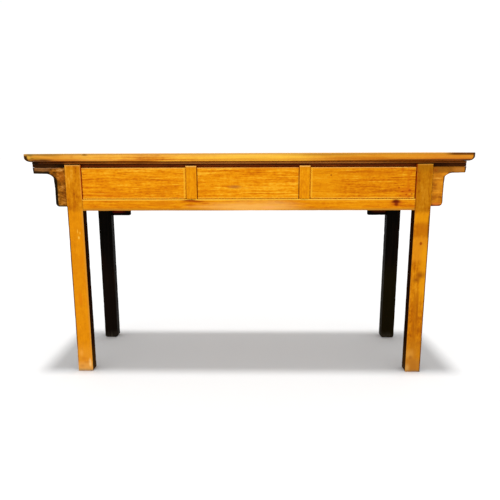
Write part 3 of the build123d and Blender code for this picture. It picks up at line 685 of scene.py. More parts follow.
# ---- legs, stiles, rails
LEG_LOOK = dict(streaks=0.6, fine=0.45, rings=0.05, mottle=1.0, mottle_size=52.0, blotches=1.0, fleck=0.6, wear=0.6)
MAT["leg_left_wood"] = wood(
    "leg_left_wood", LEG, "Z", seed=7.7, gain=0.96, shade=0.5, pith=(-0.12, -0.70), **LEG_LOOK,
    bands=[
        ([("Z", None, up(212), 10)], lin(238, 148, 4), 0.6, "MIX"),
        # the pale line along the leg's top is partly wear, partly a painted highlight on the arris
        ([("Z", up(ZL + 4.4), None, 1.6)], lin(242, 178, 92), 0.65, "MIX"),
        ([("X", None, -LX + 4.6, 1.1), ("Z", None, up(ZT - 4), 3)], lin(92, 50, 6), 0.93, "MIX"),
        ([("Z", None, up(206), 16), ("X", -LI - 6, None, 2.5)], lin(212, 142, 46), 0.7, "MIX"),
        ([("Z", None, 100, 30)], lin(232, 152, 44), 0.5, "MIX"),
        ([("Z", None, 34, 12)], lin(230, 164, 78), 0.7, "MIX"),
        ([("Z", None, 9, 4)], lin(186, 142, 88), 0.75, "MIX"),
    ],
    spots=[
        ((-628, -208, 34), (8, 8, 24), lin(252, 200, 120), 0.9, 0.9), ((-650, -208, 52), (22, 8, 13), lin(206, 118, 22), 0.55, 0.95),
        ((-640, -208, 38), (18, 8, 9), lin(200, 116, 30), 0.5, 0.95), ((-660, -208, 22), (16, 8, 9), lin(202, 122, 42), 0.5, 0.95), ((-660, -208, 76), (10, 8, 20), lin(242, 166, 62), 0.6, 0.9),
        ((-640, -208, 538), (5, 8, 8), lin(252, 190, 70), 0.9, 0.8), ((-643, -208, 562), (3, 8, 12), lin(252, 186, 60), 0.8, 0.8), ((-634, -208, 556), (3, 8, 7), lin(250, 180, 60), 0.8, 0.8),
        ((-650, -208, 300), (14, 8, 40), lin(222, 122, 4), 0.6, 0.9), ((-638, -208, 450), (12, 8, 50), lin(218, 122, 2), 0.6, 0.9),
    ],
)
MAT["leg_right_wood"] = wood(
    "leg_right_wood", LEG, "Z", seed=8.9, gain=0.95, shade=0.47, pith=(-0.12, 0.72), **LEG_LOOK,
    bands=[
        ([("Z", up(215), None, 6)], lin(229, 229, 212), 0.95, "MULTIPLY"),
        ([("Z", up(64), None, 12)], lin(172, 110, 8), 0.6, "MIX"),
        # the pale line along the leg's top is partly wear, partly a painted highlight on the arris
        ([("Z", up(ZL + 5), None, 2)], lin(216, 150, 52), 0.6, "MIX"),
        ([("Z", 590, 630, 13)], lin(232, 150, 8), 0.75, "MIX"),
        ([("Z", 548, 590, 8), ("X", 626, None, 12)], lin(194, 110, 4), 0.75, "MIX"),
        ([("Z", 446, 538, 10)], lin(232, 148, 22), 0.65, "MIX"),
        ([("Z", 534, 620, 10), ("X", LX - 8, None, 2.0)], lin(122, 70, 6), 0.7, "MIX"),
        ([("Z", 300, 500, 26), ("X", 652, None, 5)], lin(232, 152, 8), 0.7, "MIX"),
        ([("Z", None, 330, 26), ("X", 634, 654, 5)], lin(180, 100, 2), 0.7, "MIX"),
        ([("Z", None, 130, 24)], lin(190, 118, 18), 0.5, "MIX"),
        ([("Z", 58, 92, 14), ("X", None, 650, 14)], lin(214, 146, 52), 0.7, "MIX"),
        ([("Z", None, 56, 12)], lin(180, 114, 38), 0.6, "MIX"),
        ([("Z", None, 30, 12), ("X", None, 634, 9)], lin(214, 156, 76), 0.75, "MIX"),
        ([("Z", None, 8, 3)], lin(156, 116, 68), 0.75, "MIX"),
        ([("X", LX - 4.6, None, 1.1), ("Z", None, up(ZT + 2), 3)], lin(100, 56, 6), 0.9, "MIX"),
    ],
    spots=[((648, -208, 515), (6, 8, 8), lin(150, 60, 2), 0.9, 0.7), ((652, -208, 392), (26, 10, 22), lin(148, 74, 1), 0.9, 0.98), ((640, -208, 374), (24, 10, 18), lin(148, 74, 1), 0.88, 0.98), ((650, -208, 250), (5, 10, 60), lin(160, 84, 2), 0.7, 0.9), ((640, -208, 180), (4, 10, 50), lin(164, 86, 4), 0.7, 0.9), ((636, -208, 60), (12, 10, 14), lin(160, 92, 22), 0.7, 0.9)],
)
# the last band is a pale line along the stile's top: partly wear, partly a painted highlight on the arris
STILE_BANDS = [([("Z", None, None, 1), ("X", -400, 400, 10)], lin(236, 156, 8), 0.35, "MIX"), ([("Z", up(58), None, 6)], lin(214, 134, 8), 0.5, "MIX"), ([("Z", up(ZH + 4.6), None, 1.6)], lin(252, 196, 104), 0.75, "MIX")]
MAT["stile_left_wood"] = wood("stile_left_wood", HONEY, "Z", seed=9.9, shade=0.5, pith=(-0.12, -0.25), wear=0.5, fleck=0.7, mottle=0.7, mottle_size=70.0, bands=STILE_BANDS,
                              spots=[((-209, -208, 677), (24, 20, 14), lin(196, 96, 8), 0.7, 0.9)])
MAT["stile_right_wood"] = wood("stile_right_wood", HONEY, "Z", seed=10.4, shade=0.47, pith=(-0.12, 0.18), wear=0.5, fleck=0.8, mottle=0.9, mottle_size=70.0, bands=STILE_BANDS)
MAT["rail_front_wood"] = wood(
    "rail_front_wood", HONEY, "X", seed=11.6, gain=0.96, shade=0.46, pith=(-0.13, 0.60), wear=0.6, fleck=0.45, fine=0.65, fibres=0.45, mottle=0.4,
    bands=[
        # painted highlight: the pale top strip stands for the ledge and arris catching light, which the top's overhang
        # keeps in shade
        ([("Z", up(ZB + 4.4), None, 1.4)], lin(255, 196, 62), 0.95, "MIX"),
        ([("Z", None, up(201.5), 3.5), ("X", None, -150, 60)], lin(196, 128, 26), 0.8, "MIX"),
        ([("Z", None, up(201.5), 3.5), ("X", 150, None, 60)], lin(194, 128, 30), 0.75, "MIX"),
        ([("Z", None, up(205), 2.0)], lin(182, 122, 46), 0.7, "MIX"),
    ],
    spots=[
        ((546, -208, 669), (31, 9, 15), lin(190, 80, 6), 0.8, 0.8),
        ((546, -208, 674), (21, 6, 10), lin(100, 18, 2), 0.97, 0.75),
        ((548, -208, 664), (10, 6, 10), lin(120, 30, 2), 0.85, 0.75),
        ((0, -208, 655), (250, 20, 27), lin(250, 184, 88), 0.78, 0.85), ((10, -208, 666), (30, 20, 7), lin(236, 150, 40), 0.6, 0.9), ((70, -208, 652), (40, 20, 9), lin(246, 168, 88), 0.7, 0.9),
        ((-320, -208, 665), (82, 20, 15), lin(206, 106, 4), 0.6, 0.9),
        ((-216, -208, 678), (34, 9, 4.6), lin(146, 46, 1), 0.9, 0.85),
        ((-186, -208, 674), (36, 9, 4.2), lin(160, 58, 1), 0.85, 0.85),
        ((-218, -208, 662), (34, 9, 5), lin(192, 88, 2), 0.75, 0.9),
        ((-160, -208, 667), (34, 9, 4), lin(196, 92, 4), 0.7, 0.85),
    ],
)

# ---- drawer fronts
DRAWER_LOOK = dict(ring=0.012, rings=0.2, fleck=0.65, fine=1.45, fibres=0.6, mottle=0.5, mottle_size=60.0, blotches=0.6, streaks=0.8, streak_size=(4.6, 150.0), wear=0.5)
# drawer bands: a pale line along the top, partly wear and partly painted highlight; a pale strip along the bottom,
# painted light that cancels the shade of the step down to the rail
DRAWER_BANDS = [([("Z", up(ZU + 4.4), None, 1.6)], lin(246, 176, 86), 0.75, "MIX"), ([("Z", None, up(ZB - 5.2), 1.6)], lin(255, 192, 56), 0.95, "MIX")]


def gap_lines(left, right, strength_left, strength_right):
    """Painted shade as dark lines at the two ends of a drawer front, beside the gaps, or a painted pale line that
    cancels the shade beside a tight joint at the stile.
    """
    lines = []
    for place, strength in ((("X", None, left + 3.4, 1.0), strength_left), (("X", right - 3.4, None, 1.0), strength_right)):
        if strength:
            lines.append(([place], lin(160, 62, 0), strength, "MIX"))
        else:
            axis, lo, hi, soft = place
            wide = (axis, lo and lo - 5, hi and hi + 5, soft * 3)
            lines.append(([wide], lin(255, 194, 46), 0.7, "MIX"))
    return DRAWER_BANDS + lines



MAT["drawer_left_wood"] = wood(
    "drawer_left_wood", HONEY, "X", seed=12.3, shade=0.52, pith=(-0.10, 0.700), warp=0.006, **DRAWER_LOOK, bands=gap_lines(-LI, -STX - STW / 2, 0.8, 0.0),
    spots=[((-506, -204, 698), (112, 10, 16), lin(214, 112, 2), 0.6, 0.9)],
)
MAT["drawer_middle_wood"] = wood(
    "drawer_middle_wood", HONEY, "X", seed=13.8, shade=0.59, pith=(-0.11, 0.76), warp=0.005, **DRAWER_LOOK, bands=gap_lines(-STX + STW / 2, STX - STW / 2, 0.45, 0.25),
    spots=[
        ((-48, -204, 728), (37, 10, 11), lin(190, 114, 36), 0.92, 0.9), ((0, -204, 724), (60, 10, 4), lin(226, 140, 30), 0.6, 0.9),
        ((60, -204, 796), (150, 10, 10), lin(220, 124, 4), 0.5, 0.9),
    ],
)
MAT["drawer_right_wood"] = wood(
    "drawer_right_wood", HONEY, "X", seed=15.1, shade=0.46, gain=0.94, pith=(-0.10, 0.73), warp=0.005, **DRAWER_LOOK,
    bands=[([("X", None, 330, 50)], lin(234, 150, 6), 0.45, "MIX")] + gap_lines(STX + STW / 2, LI, 0.0, 0.8) + [([("X", 584, 594, 5)], lin(206, 104, 2), 0.5, "MIX")],
    spots=[
        ((480, -204, 777), (120, 10, 14), lin(206, 112, 2), 0.5, 0.9), ((306, -204, 770), (6, 6, 4), lin(160, 72, 2), 0.9, 0.6),
        ((580, -204, 708), (38, 10, 26), lin(210, 108, 8), 0.5, 0.9), ((556, -204, 724), (5, 8, 5), lin(170, 60, 2), 0.8, 0.8),
        ((570, -204, 709), (6, 8, 4), lin(176, 66, 2), 0.8, 0.8), ((596, -204, 714), (7, 8, 5), lin(164, 56, 4), 0.8, 0.8), ((584, -204, 698), (6, 8, 5), lin(170, 60, 4), 0.8, 0.8),
        ((604, -204, 700), (6, 8, 6), lin(164, 56, 4), 0.8, 0.8), ((562, -204, 694), (5, 8, 4), lin(180, 76, 6), 0.7, 0.8), ((596, -204, 692), (6, 8, 3), lin(180, 70, 6), 0.8, 0.8),
        ((566, -204, 786), (8, 10, 14), lin(198, 92, 4), 0.6, 0.9), ((598, -204, 780), (6, 10, 18), lin(198, 92, 4), 0.5, 0.9),
    ],
)

# ---- spandrels
BLACK_LINE = lin(10, 4, 2)
BROWN_LINE = lin(92, 48, 6)
MAT["spandrel_left_wood"] = wood(
    "spandrel_left_wood", OLIVE_DARK, "X", seed=16.6, gain=1.34, tilt=32.0, pith=(-0.13, 0.74), ring=0.011, rings=0.12, streaks=1.6, streak_size=(16.0, 75.0),
    fine=1.0, fleck=0.7, mottle=0.9, blotches=0.9, wear=0.0,
    bands=[
        ([("X", None, -742, 10), ("Z", up(76), None, 4)], lin(134, 90, 50), 0.75, "MIX"),
        ([("X", None, -700, 24), ("Z", up(ZU + 4.5), None, 1.4)], lin(176, 128, 86), 0.6, "MIX"),
        ([("X", None, -704, 8), ("Z", None, up(96), 10)], lin(128, 80, 16), 0.55, "MIX"),
        ([("X", None, -710.8, 1.2), ("Z", None, up(92), 4)], BLACK_LINE, 0.97, "MIX"),
        ([("X", None, -736, 4), ("Z", None, up(64.4), 2.4)], BLACK_LINE, 0.95, "MIX"),
        ([("X", None, -793.0, 2.4)], BLACK_LINE, 0.9, "MIX"),
        ([("X", None, -768, 8), ("Z", None, up(62.5), 3.0)], lin(40, 22, 8), 0.75, "MIX"),
        ([((0.55, 0, 0.83), None, 239.6, 1.1), ("X", -757, -714, 1.5), ("Z", None, up(68.5), 1.5)], BLACK_LINE, 0.95, "MIX"),
        ([("Z", None, up(ZT - 6.8), 1.0)], BLACK_LINE, 0.85, "MIX"),
    ],
    spots=[((-690, -196, 768), (26, 20, 30), lin(186, 98, 12), 0.6, 0.9), ((-684, -196, 700), (14, 20, 60), lin(134, 66, 6), 0.55, 0.8)],
)
MAT["spandrel_right_wood"] = wood(
    "spandrel_right_wood", OLIVE_BROWN, "X", seed=17.4, gain=1.26, pith=(-0.13, 0.74), ring=0.011, rings=0.06, streaks=0.45, fine=0.5, fleck=0.4, mottle=0.8, blotches=0.7, wear=0.0,
    bands=[
        ([("X", 742, None, 14), ("Z", up(78), None, 4)], lin(172, 106, 36), 0.65, "MIX"),
        ([("X", 690, 752, 12), ("Z", up(72), None, 5)], lin(136, 82, 18), 0.7, "MIX"),
        ([("X", 678, None, 7), ("Z", up(ZU + 5), None, 2)], lin(150, 92, 26), 0.5, "MIX"),
        ([("X", 678, 700, 7), ("Z", up(75), None, 7)], lin(150, 84, 14), 0.5, "MIX"),
        ([("X", 718.6, None, 0.9), ("Z", None, up(92), 4)], lin(112, 66, 8), 0.85, "MIX"),
        ([("X", 736, None, 4), ("Z", None, up(70.2), 1.0)], BROWN_LINE, 0.85, "MIX"),
        ([("X", 793.5, None, 1.8)], lin(40, 16, 2), 0.9, "MIX"),
        ([("X", 742, 792, 10), ("Z", None, up(66), 3.0)], lin(146, 88, 24), 0.6, "MIX"),
        ([((-0.55, 0, 0.83), None, 238.2, 1.0), ("X", 718.6, 757, 1.5), ("Z", None, up(69), 1.5)], BROWN_LINE, 0.85, "MIX"),
        ([("Z", None, up(ZT - 7.0), 1.2)], lin(104, 36, 4), 0.92, "MIX"),
    ],
    spots=[
        ((700, -196, 757), (32, 20, 4.4), lin(240, 168, 60), 0.9, 0.8), ((700, -196, 712), (26, 20, 5), lin(226, 150, 40), 0.6, 0.9),
        ((775, -196, 788), (24, 20, 12), lin(186, 118, 46), 0.6, 0.9), ((698, -196, 662), (26, 20, 7), lin(214, 112, 36), 0.85, 0.8), ((688, -196, 684), (14, 20, 14), lin(168, 88, 8), 0.7, 0.9), ((686, -196, 786), (14, 20, 10), lin(158, 74, 8), 0.65, 0.9),
        ((704, -196, 727), (10, 20, 24), lin(226, 146, 30), 0.55, 0.9),
    ],
)
MAT["spandrel_edge"] = lacquer("spandrel_edge", "Z", seed=18.1, tones=(lin(8, 4, 2), lin(34, 18, 8)), worn=lin(70, 44, 24), wear=0.3, specular=0.0)
MAT["spandrel_edge_brown"] = lacquer("spandrel_edge_brown", "Z", seed=18.7, tones=(lin(60, 26, 6), lin(104, 56, 14)), worn=lin(120, 70, 30), wear=0.3, specular=0.0, patches=0.2, patch_colour=lin(96, 30, 4))

# ---- dark lacquer
DUST = (0.016, 0.024, 0.75, lin(70, 64, 54))
REDDISH = [([("Y", None, -(LY - 8), 3)], lin(50, 10, 1), 0.85, "MIX")]
for key, grain, seed, low in (("lacquer_leg_left", "Z", 21.0, (22, 13, 8)), ("lacquer_leg_right", "Z", 22.0, (25, 19, 2)), ("lacquer_x", "X", 23.0, None), ("lacquer_y", "Y", 24.0, None)):
    MAT[key] = lacquer(key, grain=grain, seed=seed, wear=0.22 if seed == 21.0 else 0.4, dust=DUST if low else None, bands=[([("Z", None, 340, 70)], lin(*low), 0.7, "MIX")] if low else ())
MAT["side_lacquer"] = lacquer("side_lacquer", "Z", seed=28.0, tones=(lin(14, 6, 3), lin(44, 22, 10)), worn=lin(94, 62, 28), wear=0.75, hard=0.5, specular=0.0, bands=REDDISH + [([("Z", None, 90, 40)], lin(66, 40, 12), 0.8, "MIX")], dust=DUST)
MAT["gap_brown"] = lacquer("gap_brown", "Z", seed=29.0, tones=(lin(166, 48, 0), lin(220, 87, 0)), worn=lin(222, 104, 4), wear=0.3, specular=0.0, patches=0.2, patch_colour=lin(140, 44, 0))
MAT["lacquer_bracket"] = lacquer("lacquer_bracket", grain="X", seed=25.0, patches=0.7, patch_colour=lin(58, 22, 10), bands=[([("Z", up(263), up(248), 4), ("X", -620, -560, 16), ("Y", None, 179, 1.5)], lin(104, 18, 1), 0.6, "MIX"), ([("Z", up(264), up(250), 4), ("X", 550, 620, 16), ("Y", None, 179, 1.5)], lin(92, 34, 10), 0.42, "MIX")])
MAT["lacquer_panel"] = lacquer("lacquer_panel", grain="Y", seed=26.0, wear=0.35)
MAT["lacquer_back"] = lacquer("lacquer_back", grain="X", seed=27.0, wear=0.35)

# ---- inside
INSIDE = tones((120, 70, 28), (158, 104, 52), (184, 130, 74), (202, 150, 92), (222, 174, 116), worn=(214, 168, 112))
for key, grain, seed in (("drawer_box_x", "X", 31.0), ("drawer_box_y", "Y", 32.0), ("drawer_box_bottom", "Y", 33.0)):
    MAT[key] = wood(key, INSIDE, grain, seed=seed, pith=(0.3, 0.6), ring=0.007, rings=0.3, rough=0.62, wear=0.3)
OLDPINE = tones((58, 30, 12), (84, 48, 22), (106, 64, 32), (124, 80, 44), (146, 100, 60), worn=(140, 96, 58))
for key, grain, seed in (("old_pine_x", "X", 34.0), ("old_pine_y", "Y", 35.0)):
    MAT[key] = wood(key, OLDPINE, grain, seed=seed, pith=(0.3, 0.6), ring=0.007, rings=0.3, rough=0.7, wear=0.3)
MAT["peg_wood"] = wood("peg_wood", INSIDE, "X", seed=36.0, gain=0.6, pith=(0.3, 0.6), ring=0.002, rings=0.2, rough=0.6, wear=0.0)


# ============================================================================ top
def frame_section():
    """Section of a member of the top frame: distance in from the outer edge, height."""
    dx, dz = 16.5, FRAME_T - 13.0
    length = math.hypot(dx, dz)
    mid = (dx / 2 - 4.8 * dz / length, up(13.0 + dz / 2 + 4.8 * dx / length))
    arris = arc3((2.0, up(0)), (0.586, up(0.586)), (0.0, up(2.0)), 4)
    mould = [(0.0, up(2.0)), (0.0, up(7.5))] + arc3((0.0, up(13.0)), mid, (16.5, up(FRAME_T)), 14)
    mould = [(max(0.0, d), z) for d, z in mould]
    return (
        [(FRAME_W, up(FRAME_T)), (FRAME_W, up(19)), (FRAME_W - 8.5, up(19)), (FRAME_W - 8.5, up(13)), (FRAME_W, up(13)), (FRAME_W, up(0))]
        + arris
        + mould[1:]
    )


def frame_member(long_axis, sign):
    """A mitred member of the top frame. Its ends follow the mitre."""
    bm = bmesh.new()
    outer, half = (HY, HX) if long_axis == "X" else (HX, HY)
    rings = []
    for e in (-1, 1):
        row = []
        for d, z in frame_section():
            along, across = e * (half - d), sign * (outer - d)
            row.append(bm.verts.new(m_((along, across, z)) if long_axis == "X" else m_((across, along, z))))
        rings.append(row)
    n = len(rings[0])
    for i in range(n):
        j = (i + 1) % n
        bm.faces.new((rings[0][i], rings[0][j], rings[1][j], rings[1][i]))
    bm.faces.new(rings[0][::-1])
    bm.faces.new(rings[1])
    bmesh.ops.recalc_face_normals(bm, faces=bm.faces)
    return bm


def in_groove(p):
    return min(abs(abs(p.y) - (HY - FRAME_W)), abs(abs(p.x) - (HX - FRAME_W))) < 9 and p.z < up(8)


def top_edges(p, q):
    """Arrises of the frame members that show: not those in the grooves."""
    return not (in_groove(p) and in_groove(q) and min(p.z, q.z) > up(25))


for name, axis, sign in (("top_rail_front", "X", -1), ("top_rail_back", "X", 1), ("top_end_left", "Y", -1), ("top_end_right", "Y", 1)):
    bm = frame_member(axis, sign)
    worn_piece(
        name + "_wood", "table", bm,
        [MAT["top_rail_wood"] if axis == "X" else MAT["top_end_wood"]],
        [name], bevel=0.9, segments=2,
        steps=(16, 0, 0) if axis == "X" else (0, 16, 0), inset=5.0,
        wear=0.9, nicks=26 if axis == "X" else 10, nick=1.2, sway=0.3, reach=4.0, seed=41 + sign + (5 if axis == "X" else 0),
        test=top_edges,
        more={"Y": [sign * (HY - 24), sign * (HY - 46)]} if axis == "X" else {"X": [sign * (HX - 24), sign * (HX - 46)]},
    )

PX, PY = HX - FRAME_W, HY - FRAME_W
for name, y0, y1, mat in (("top_board_front", -PY, 20.8, "top_board_wood"), ("top_board_back", 21.2, PY, "top_board_wood_2")):
    bm = from_cad(name)
    worn_piece(
        name + "_wood", "table", bm, [MAT[mat]], [name],
        bevel=0.8, segments=2, steps=(24, 24, 0), inset=5.0, wear=0.3, nicks=12, nick=0.5, sway=0.35, reach=4.0, seed=51 + (y0 > 0),
        test=lambda p, q: min(p.z, q.z) > up(0.5),
    )

# ============================================================================ skirts, upper rails, end aprons
for s, tag in ((-1, "front"), (1, "back")):
    y0, y1 = sorted((s * SKY, s * (SKY - SKW)))
    bm = block(-SKX, SKX, y0, y1, up(ZS), up(FRAME_T))
    corners = [e for e in bm.edges if all(abs(v.co.x) > (SKX - 1) * MM and abs(v.co.y) > (SKY - 1) * MM for v in e.verts)]
    bmesh.ops.bevel(bm, geom=corners, offset=4 * MM, offset_type="OFFSET", segments=4, profile=0.5, affect="EDGES")
    worn_piece(f"skirt_{tag}_wood", "table", bm, [MAT["skirt_long_wood"] if s < 0 else MAT["lacquer_back"]], [f"skirt_{tag}"],
               bevel=1.0, segments=2, steps=(18, 0, 0), inset=3.0, wear=0.4, nicks=16, nick=0.8, sway=0.15, reach=3.0, seed=61 + s)
    y0, y1 = sorted((s * RY0, s * RY1))
    worn_piece(f"upper_rail_{tag}_wood", "table", block(-ARX, ARX, y0, y1, up(ZU), up(ZS)), [MAT["upper_rail_wood"] if s < 0 else MAT["lacquer_back"]], [f"upper_rail_{tag}"],
               bevel=0.8, segments=2, steps=(24, 0, 0), inset=3.0, wear=0.3, nicks=8, nick=0.5, sway=0.15, reach=3.0, seed=65 + s)
for s, tag in ((-1, "left"), (1, "right")):
    x0, x1 = sorted((s * SKX, s * (SKX - SKW)))
    worn_piece(f"skirt_{tag}_wood", "table", block(x0, x1, -RY1, RY1, up(ZS), up(FRAME_T)), [MAT["skirt_end_wood"]], [f"skirt_{tag}"],
               bevel=1.0, segments=2, steps=(0, 18, 0), inset=3.0, wear=0.4, nicks=8, nick=0.8, sway=0.15, reach=3.0, seed=71 + s)
    x0, x1 = sorted((s * ARX, s * (ARX - 18)))
    worn_piece(f"end_apron_{tag}_wood", "table", block(x0, x1, -RY1, RY1, up(ZA), up(ZS)), [MAT["lacquer_y"]], [f"end_apron_{tag}"],
               bevel=1.6, segments=3, steps=(0, 14, 12), inset=4.0, wear=0.6, nicks=10, nick=0.9, sway=0.2, reach=4.0, seed=75 + s)

# ============================================================================ legs
LEG_YZ = [(-LY, 0), (-LYI, 0), (-LYI, up(FRAME_T)), (-RY1, up(FRAME_T)), (-RY1, up(ZU)), (-RY0, up(ZU)), (-RY0, up(ZL)), (-LY, up(ZL))]
for sy, fb in ((1, "front"), (-1, "back")):
    for sx, lr in ((-1, "left"), (1, "right")):
        x0, x1 = sorted((sx * LX, sx * LI))
        outline = [(y * sy, z) for y, z in LEG_YZ]
        bm = prism(outline if sy > 0 else outline[::-1], "X", x0, x1)
        if fb == "back":
            foot = [e for e in bm.edges if all(v.co.z < MM for v in e.verts) and abs(e.verts[0].co.x - e.verts[1].co.x) < MM]
            bmesh.ops.bevel(bm, geom=foot, offset=9 * MM, offset_type="OFFSET", segments=4, profile=0.5, affect="EDGES")
        if fb == "front":
            cut(bm, "Z", [up(ZN), up(ZB)])
            mats = [MAT[f"leg_{lr}_wood"], MAT["side_lacquer"], MAT["gap_brown"]]
        else:
            mats = [MAT[f"lacquer_leg_{lr}"]]

        def sharp(p, q, sx=sx):
            """All arrises but the stretch where the bottom rail meets the leg flush."""
            flush = abs(p.x - sx * LI) < 0.1 and abs(q.x - sx * LI) < 0.1 and abs(p.y + LY) < 0.1 and abs(q.y + LY) < 0.1
            return not (flush and up(ZN) - 0.1 < min(p.z, q.z) and max(p.z, q.z) < up(ZB) + 0.1)

        def leg_face(c, n, sx=sx):
            if n.y < -0.45 or abs(n.z) > 0.6:
                return 0
            return 2 if n.x * sx < -0.5 and c.z > up(ZN) else 1

        worn_piece(
            f"leg_{fb}_{lr}_wood", "table", bm, mats,
            [f"leg_{fb}_{lr}"],
            bevel=1.8, segments=3, steps=(16, 12, 12), inset=6.5, wear=0.75, nicks=34, nick=1.3, sway=0.4, reach=5.5,
            seed=81 + sx + 3 * sy,
            more={"Z": [8, 14]},
            test=sharp if fb == "front" else None,
            pick=leg_face if fb == "front" else None,
            boost=(lambda co, no, sx=sx: np.where(co[:, 0] * sx > LX - 14, 0.25, 1.0)) if fb == "front" else None,
        )

# ============================================================================ stiles and bottom rails
for sx, lr in ((-1, "left"), (1, "right")):
    x0, x1 = sorted((sx * (STX + STW / 2), sx * (STX - STW / 2)))
    bm = prism([(-LY, up(ZB)), (-RY1, up(ZB)), (-RY1, up(ZU)), (-RY0, up(ZU)), (-RY0, up(ZH)), (-LY, up(ZH))], "X", x0, x1)
    worn_piece(f"stile_{lr}_wood", "table", bm, [MAT[f"stile_{lr}_wood"], MAT["gap_brown"]], [f"stile_{lr}"],
               pick=lambda c, n, sx=sx: 1 if n.x * sx < -0.8 or n.y > 0.6 else 0,
               bevel=1.3, segments=3, steps=(12, 0, 10), inset=5.0, wear=0.5, nicks=8, nick=0.7, sway=0.2, reach=4.5, seed=91 + sx,
               test=lambda p, q, sx=sx: not (p.z < up(ZB - 1) and q.z < up(ZB - 1)) and not (min(p.x * sx, q.x * sx) > STX + STW / 2 - 0.1))
bm = block(-LI, LI, -LY, -LY + 40, up(ZN), up(ZB))
cut(bm, "X", [-STX - STW / 2, -STX + STW / 2, STX - STW / 2, STX + STW / 2])


def rail_arris(p, q):
    """Not at the ends, and not under the stiles."""
    if abs(p.x) > LI - 1 and abs(q.x) > LI - 1 and p.x * q.x > 0:
        return False
    middle = abs(p.x + q.x) / 2
    return not (min(p.z, q.z) > up(ZB) - 1 and max(p.y, q.y) < -LY + 1 and abs(middle - STX) < STW / 2)


worn_piece("bottom_rail_front_wood", "table", bm, [MAT["rail_front_wood"], MAT["lacquer_x"]], ["bottom_rail_front"],
           bevel=1.3, segments=3, steps=(14, 0, 10), inset=5.0, wear=0.6, nicks=24, nick=0.9, sway=0.25, reach=5.0, seed=95,
           test=rail_arris, pick=lambda c, n: 1 if n.z < -0.8 or n.y > 0.6 else 0, boost=lambda co, no: np.where(co[:, 2] < up(200), 0.25, 1.0))
worn_piece("bottom_rail_back_wood", "table", block(-LI, LI, LY - 40, LY, up(ZN), up(ZB)), [MAT["lacquer_back"]], ["bottom_rail_back"],
           bevel=1.5, segments=3, steps=(16, 0, 12), inset=5.0, wear=0.6, nicks=24, nick=0.9, sway=0.25, reach=5.0, seed=97,
           test=lambda p, q: not (abs(p.x) > LI - 1 and abs(q.x) > LI - 1 and p.x * q.x > 0))

# ============================================================================ spandrels
OUT = (
    [(-LX, up(ZT + 0.5)), (-LX, up(ZU)), (-ARX, up(ZU)), (-ARX + 2.5, up(ZA))]
    + arc3((-753.0, up(73.8)), (-737.2, up(77.5)), (-724.8, up(87.5)), 8)
    + arc3((-724.8, up(87.5)), (-722.8, up(123.0)), (-722.5, up(181.5)), 8)[1:]
    + arc3((-722.5, up(181.5)), (-718.4, up(191.7)), (-708.2, up(ZT)), 7)[1:]
)
for sy, fb in ((1, "front"), (-1, "back")):
    for sx, lr in ((-1, "left"), (1, "right")):
        outline = [(-sx * x, z) for x, z in OUT]
        if sx > 0:
            outline = outline[::-1]
        y0, y1 = sorted((-sy * SY0, -sy * RY1))
        bm = prism(outline, "Y", y0, y1)
        if fb == "front":
            mats = [MAT[f"spandrel_{lr}_wood"], MAT["spandrel_edge" if sx < 0 else "spandrel_edge_brown"]]
        else:
            mats = [MAT["lacquer_x"]]
        limit = -0.86 if sx < 0 else -0.6
        worn_piece(
            f"spandrel_{fb}_{lr}_wood", "table", bm, mats, [f"spandrel_{fb}_{lr}"],
            pick=(lambda c, n, limit=limit: 0 if n.y < limit or n.z > 0.3 else 1) if fb == "front" else None,
            bevel=2.2, segments=3, steps=(7, 0, 8), inset=5.0, wear=0.8, nicks=12, nick=1.2, sway=0.4, reach=6.0, seed=101 + sx + 3 * sy,
            test=lambda p, q: not (abs(p.x) < LX + 0.5 and abs(q.x) < LX + 0.5),
        )

# ============================================================================ sides and back of the case
for sx, lr in ((-1, "left"), (1, "right")):
    def xs(a, b):
        return sorted((sx * a, sx * b))

    x0, x1 = xs(664.5, 642.5)
    worn_piece(f"side_rail_upper_{lr}_wood", "table", block(x0, x1, -LYI, LYI, up(72), up(38)), [MAT["lacquer_y"]], [f"side_rail_upper_{lr}"],
               bevel=1.2, segments=2, steps=(0, 16, 12), inset=4.0, wear=0.5, nicks=8, nick=0.8, sway=0.2, reach=4.0, seed=111 + sx,
               test=lambda p, q: not (abs(p.y) > LYI - 1 and abs(q.y) > LYI - 1 and p.y * q.y > 0))
    x0, x1 = xs(664.5, 636.5)
    worn_piece(f"side_rail_lower_{lr}_wood", "table", block(x0, x1, -LYI, LYI, up(ZN), up(ZB)), [MAT["lacquer_y"]], [f"side_rail_lower_{lr}"],
               bevel=1.4, segments=3, steps=(0, 16, 12), inset=4.0, wear=0.6, nicks=10, nick=0.9, sway=0.2, reach=4.5, seed=115 + sx,
               test=lambda p, q: not (abs(p.y) > LYI - 1 and abs(q.y) > LYI - 1 and p.y * q.y > 0))
    x0, x1 = xs(660, 648)
    worn_piece(f"side_panel_{lr}_wood", "table", block(x0, x1, -LYI, LYI, up(ZB), up(72)), [MAT["lacquer_panel"]], [f"side_panel_{lr}"],
               bevel=0, segments=1, steps=(0, 18, 18), inset=5.0, wear=0.0, nicks=0, sway=0.4, seed=119 + sx)
worn_piece("back_panel_wood", "table", block(-LI, LI, 179.5, 189.5, up(ZB), up(ZU)), [MAT["lacquer_back"]], ["back_panel"],
           bevel=0, segments=1, steps=(24, 0, 20), inset=5.0, wear=0.0, nicks=0, sway=0.4, seed=123)
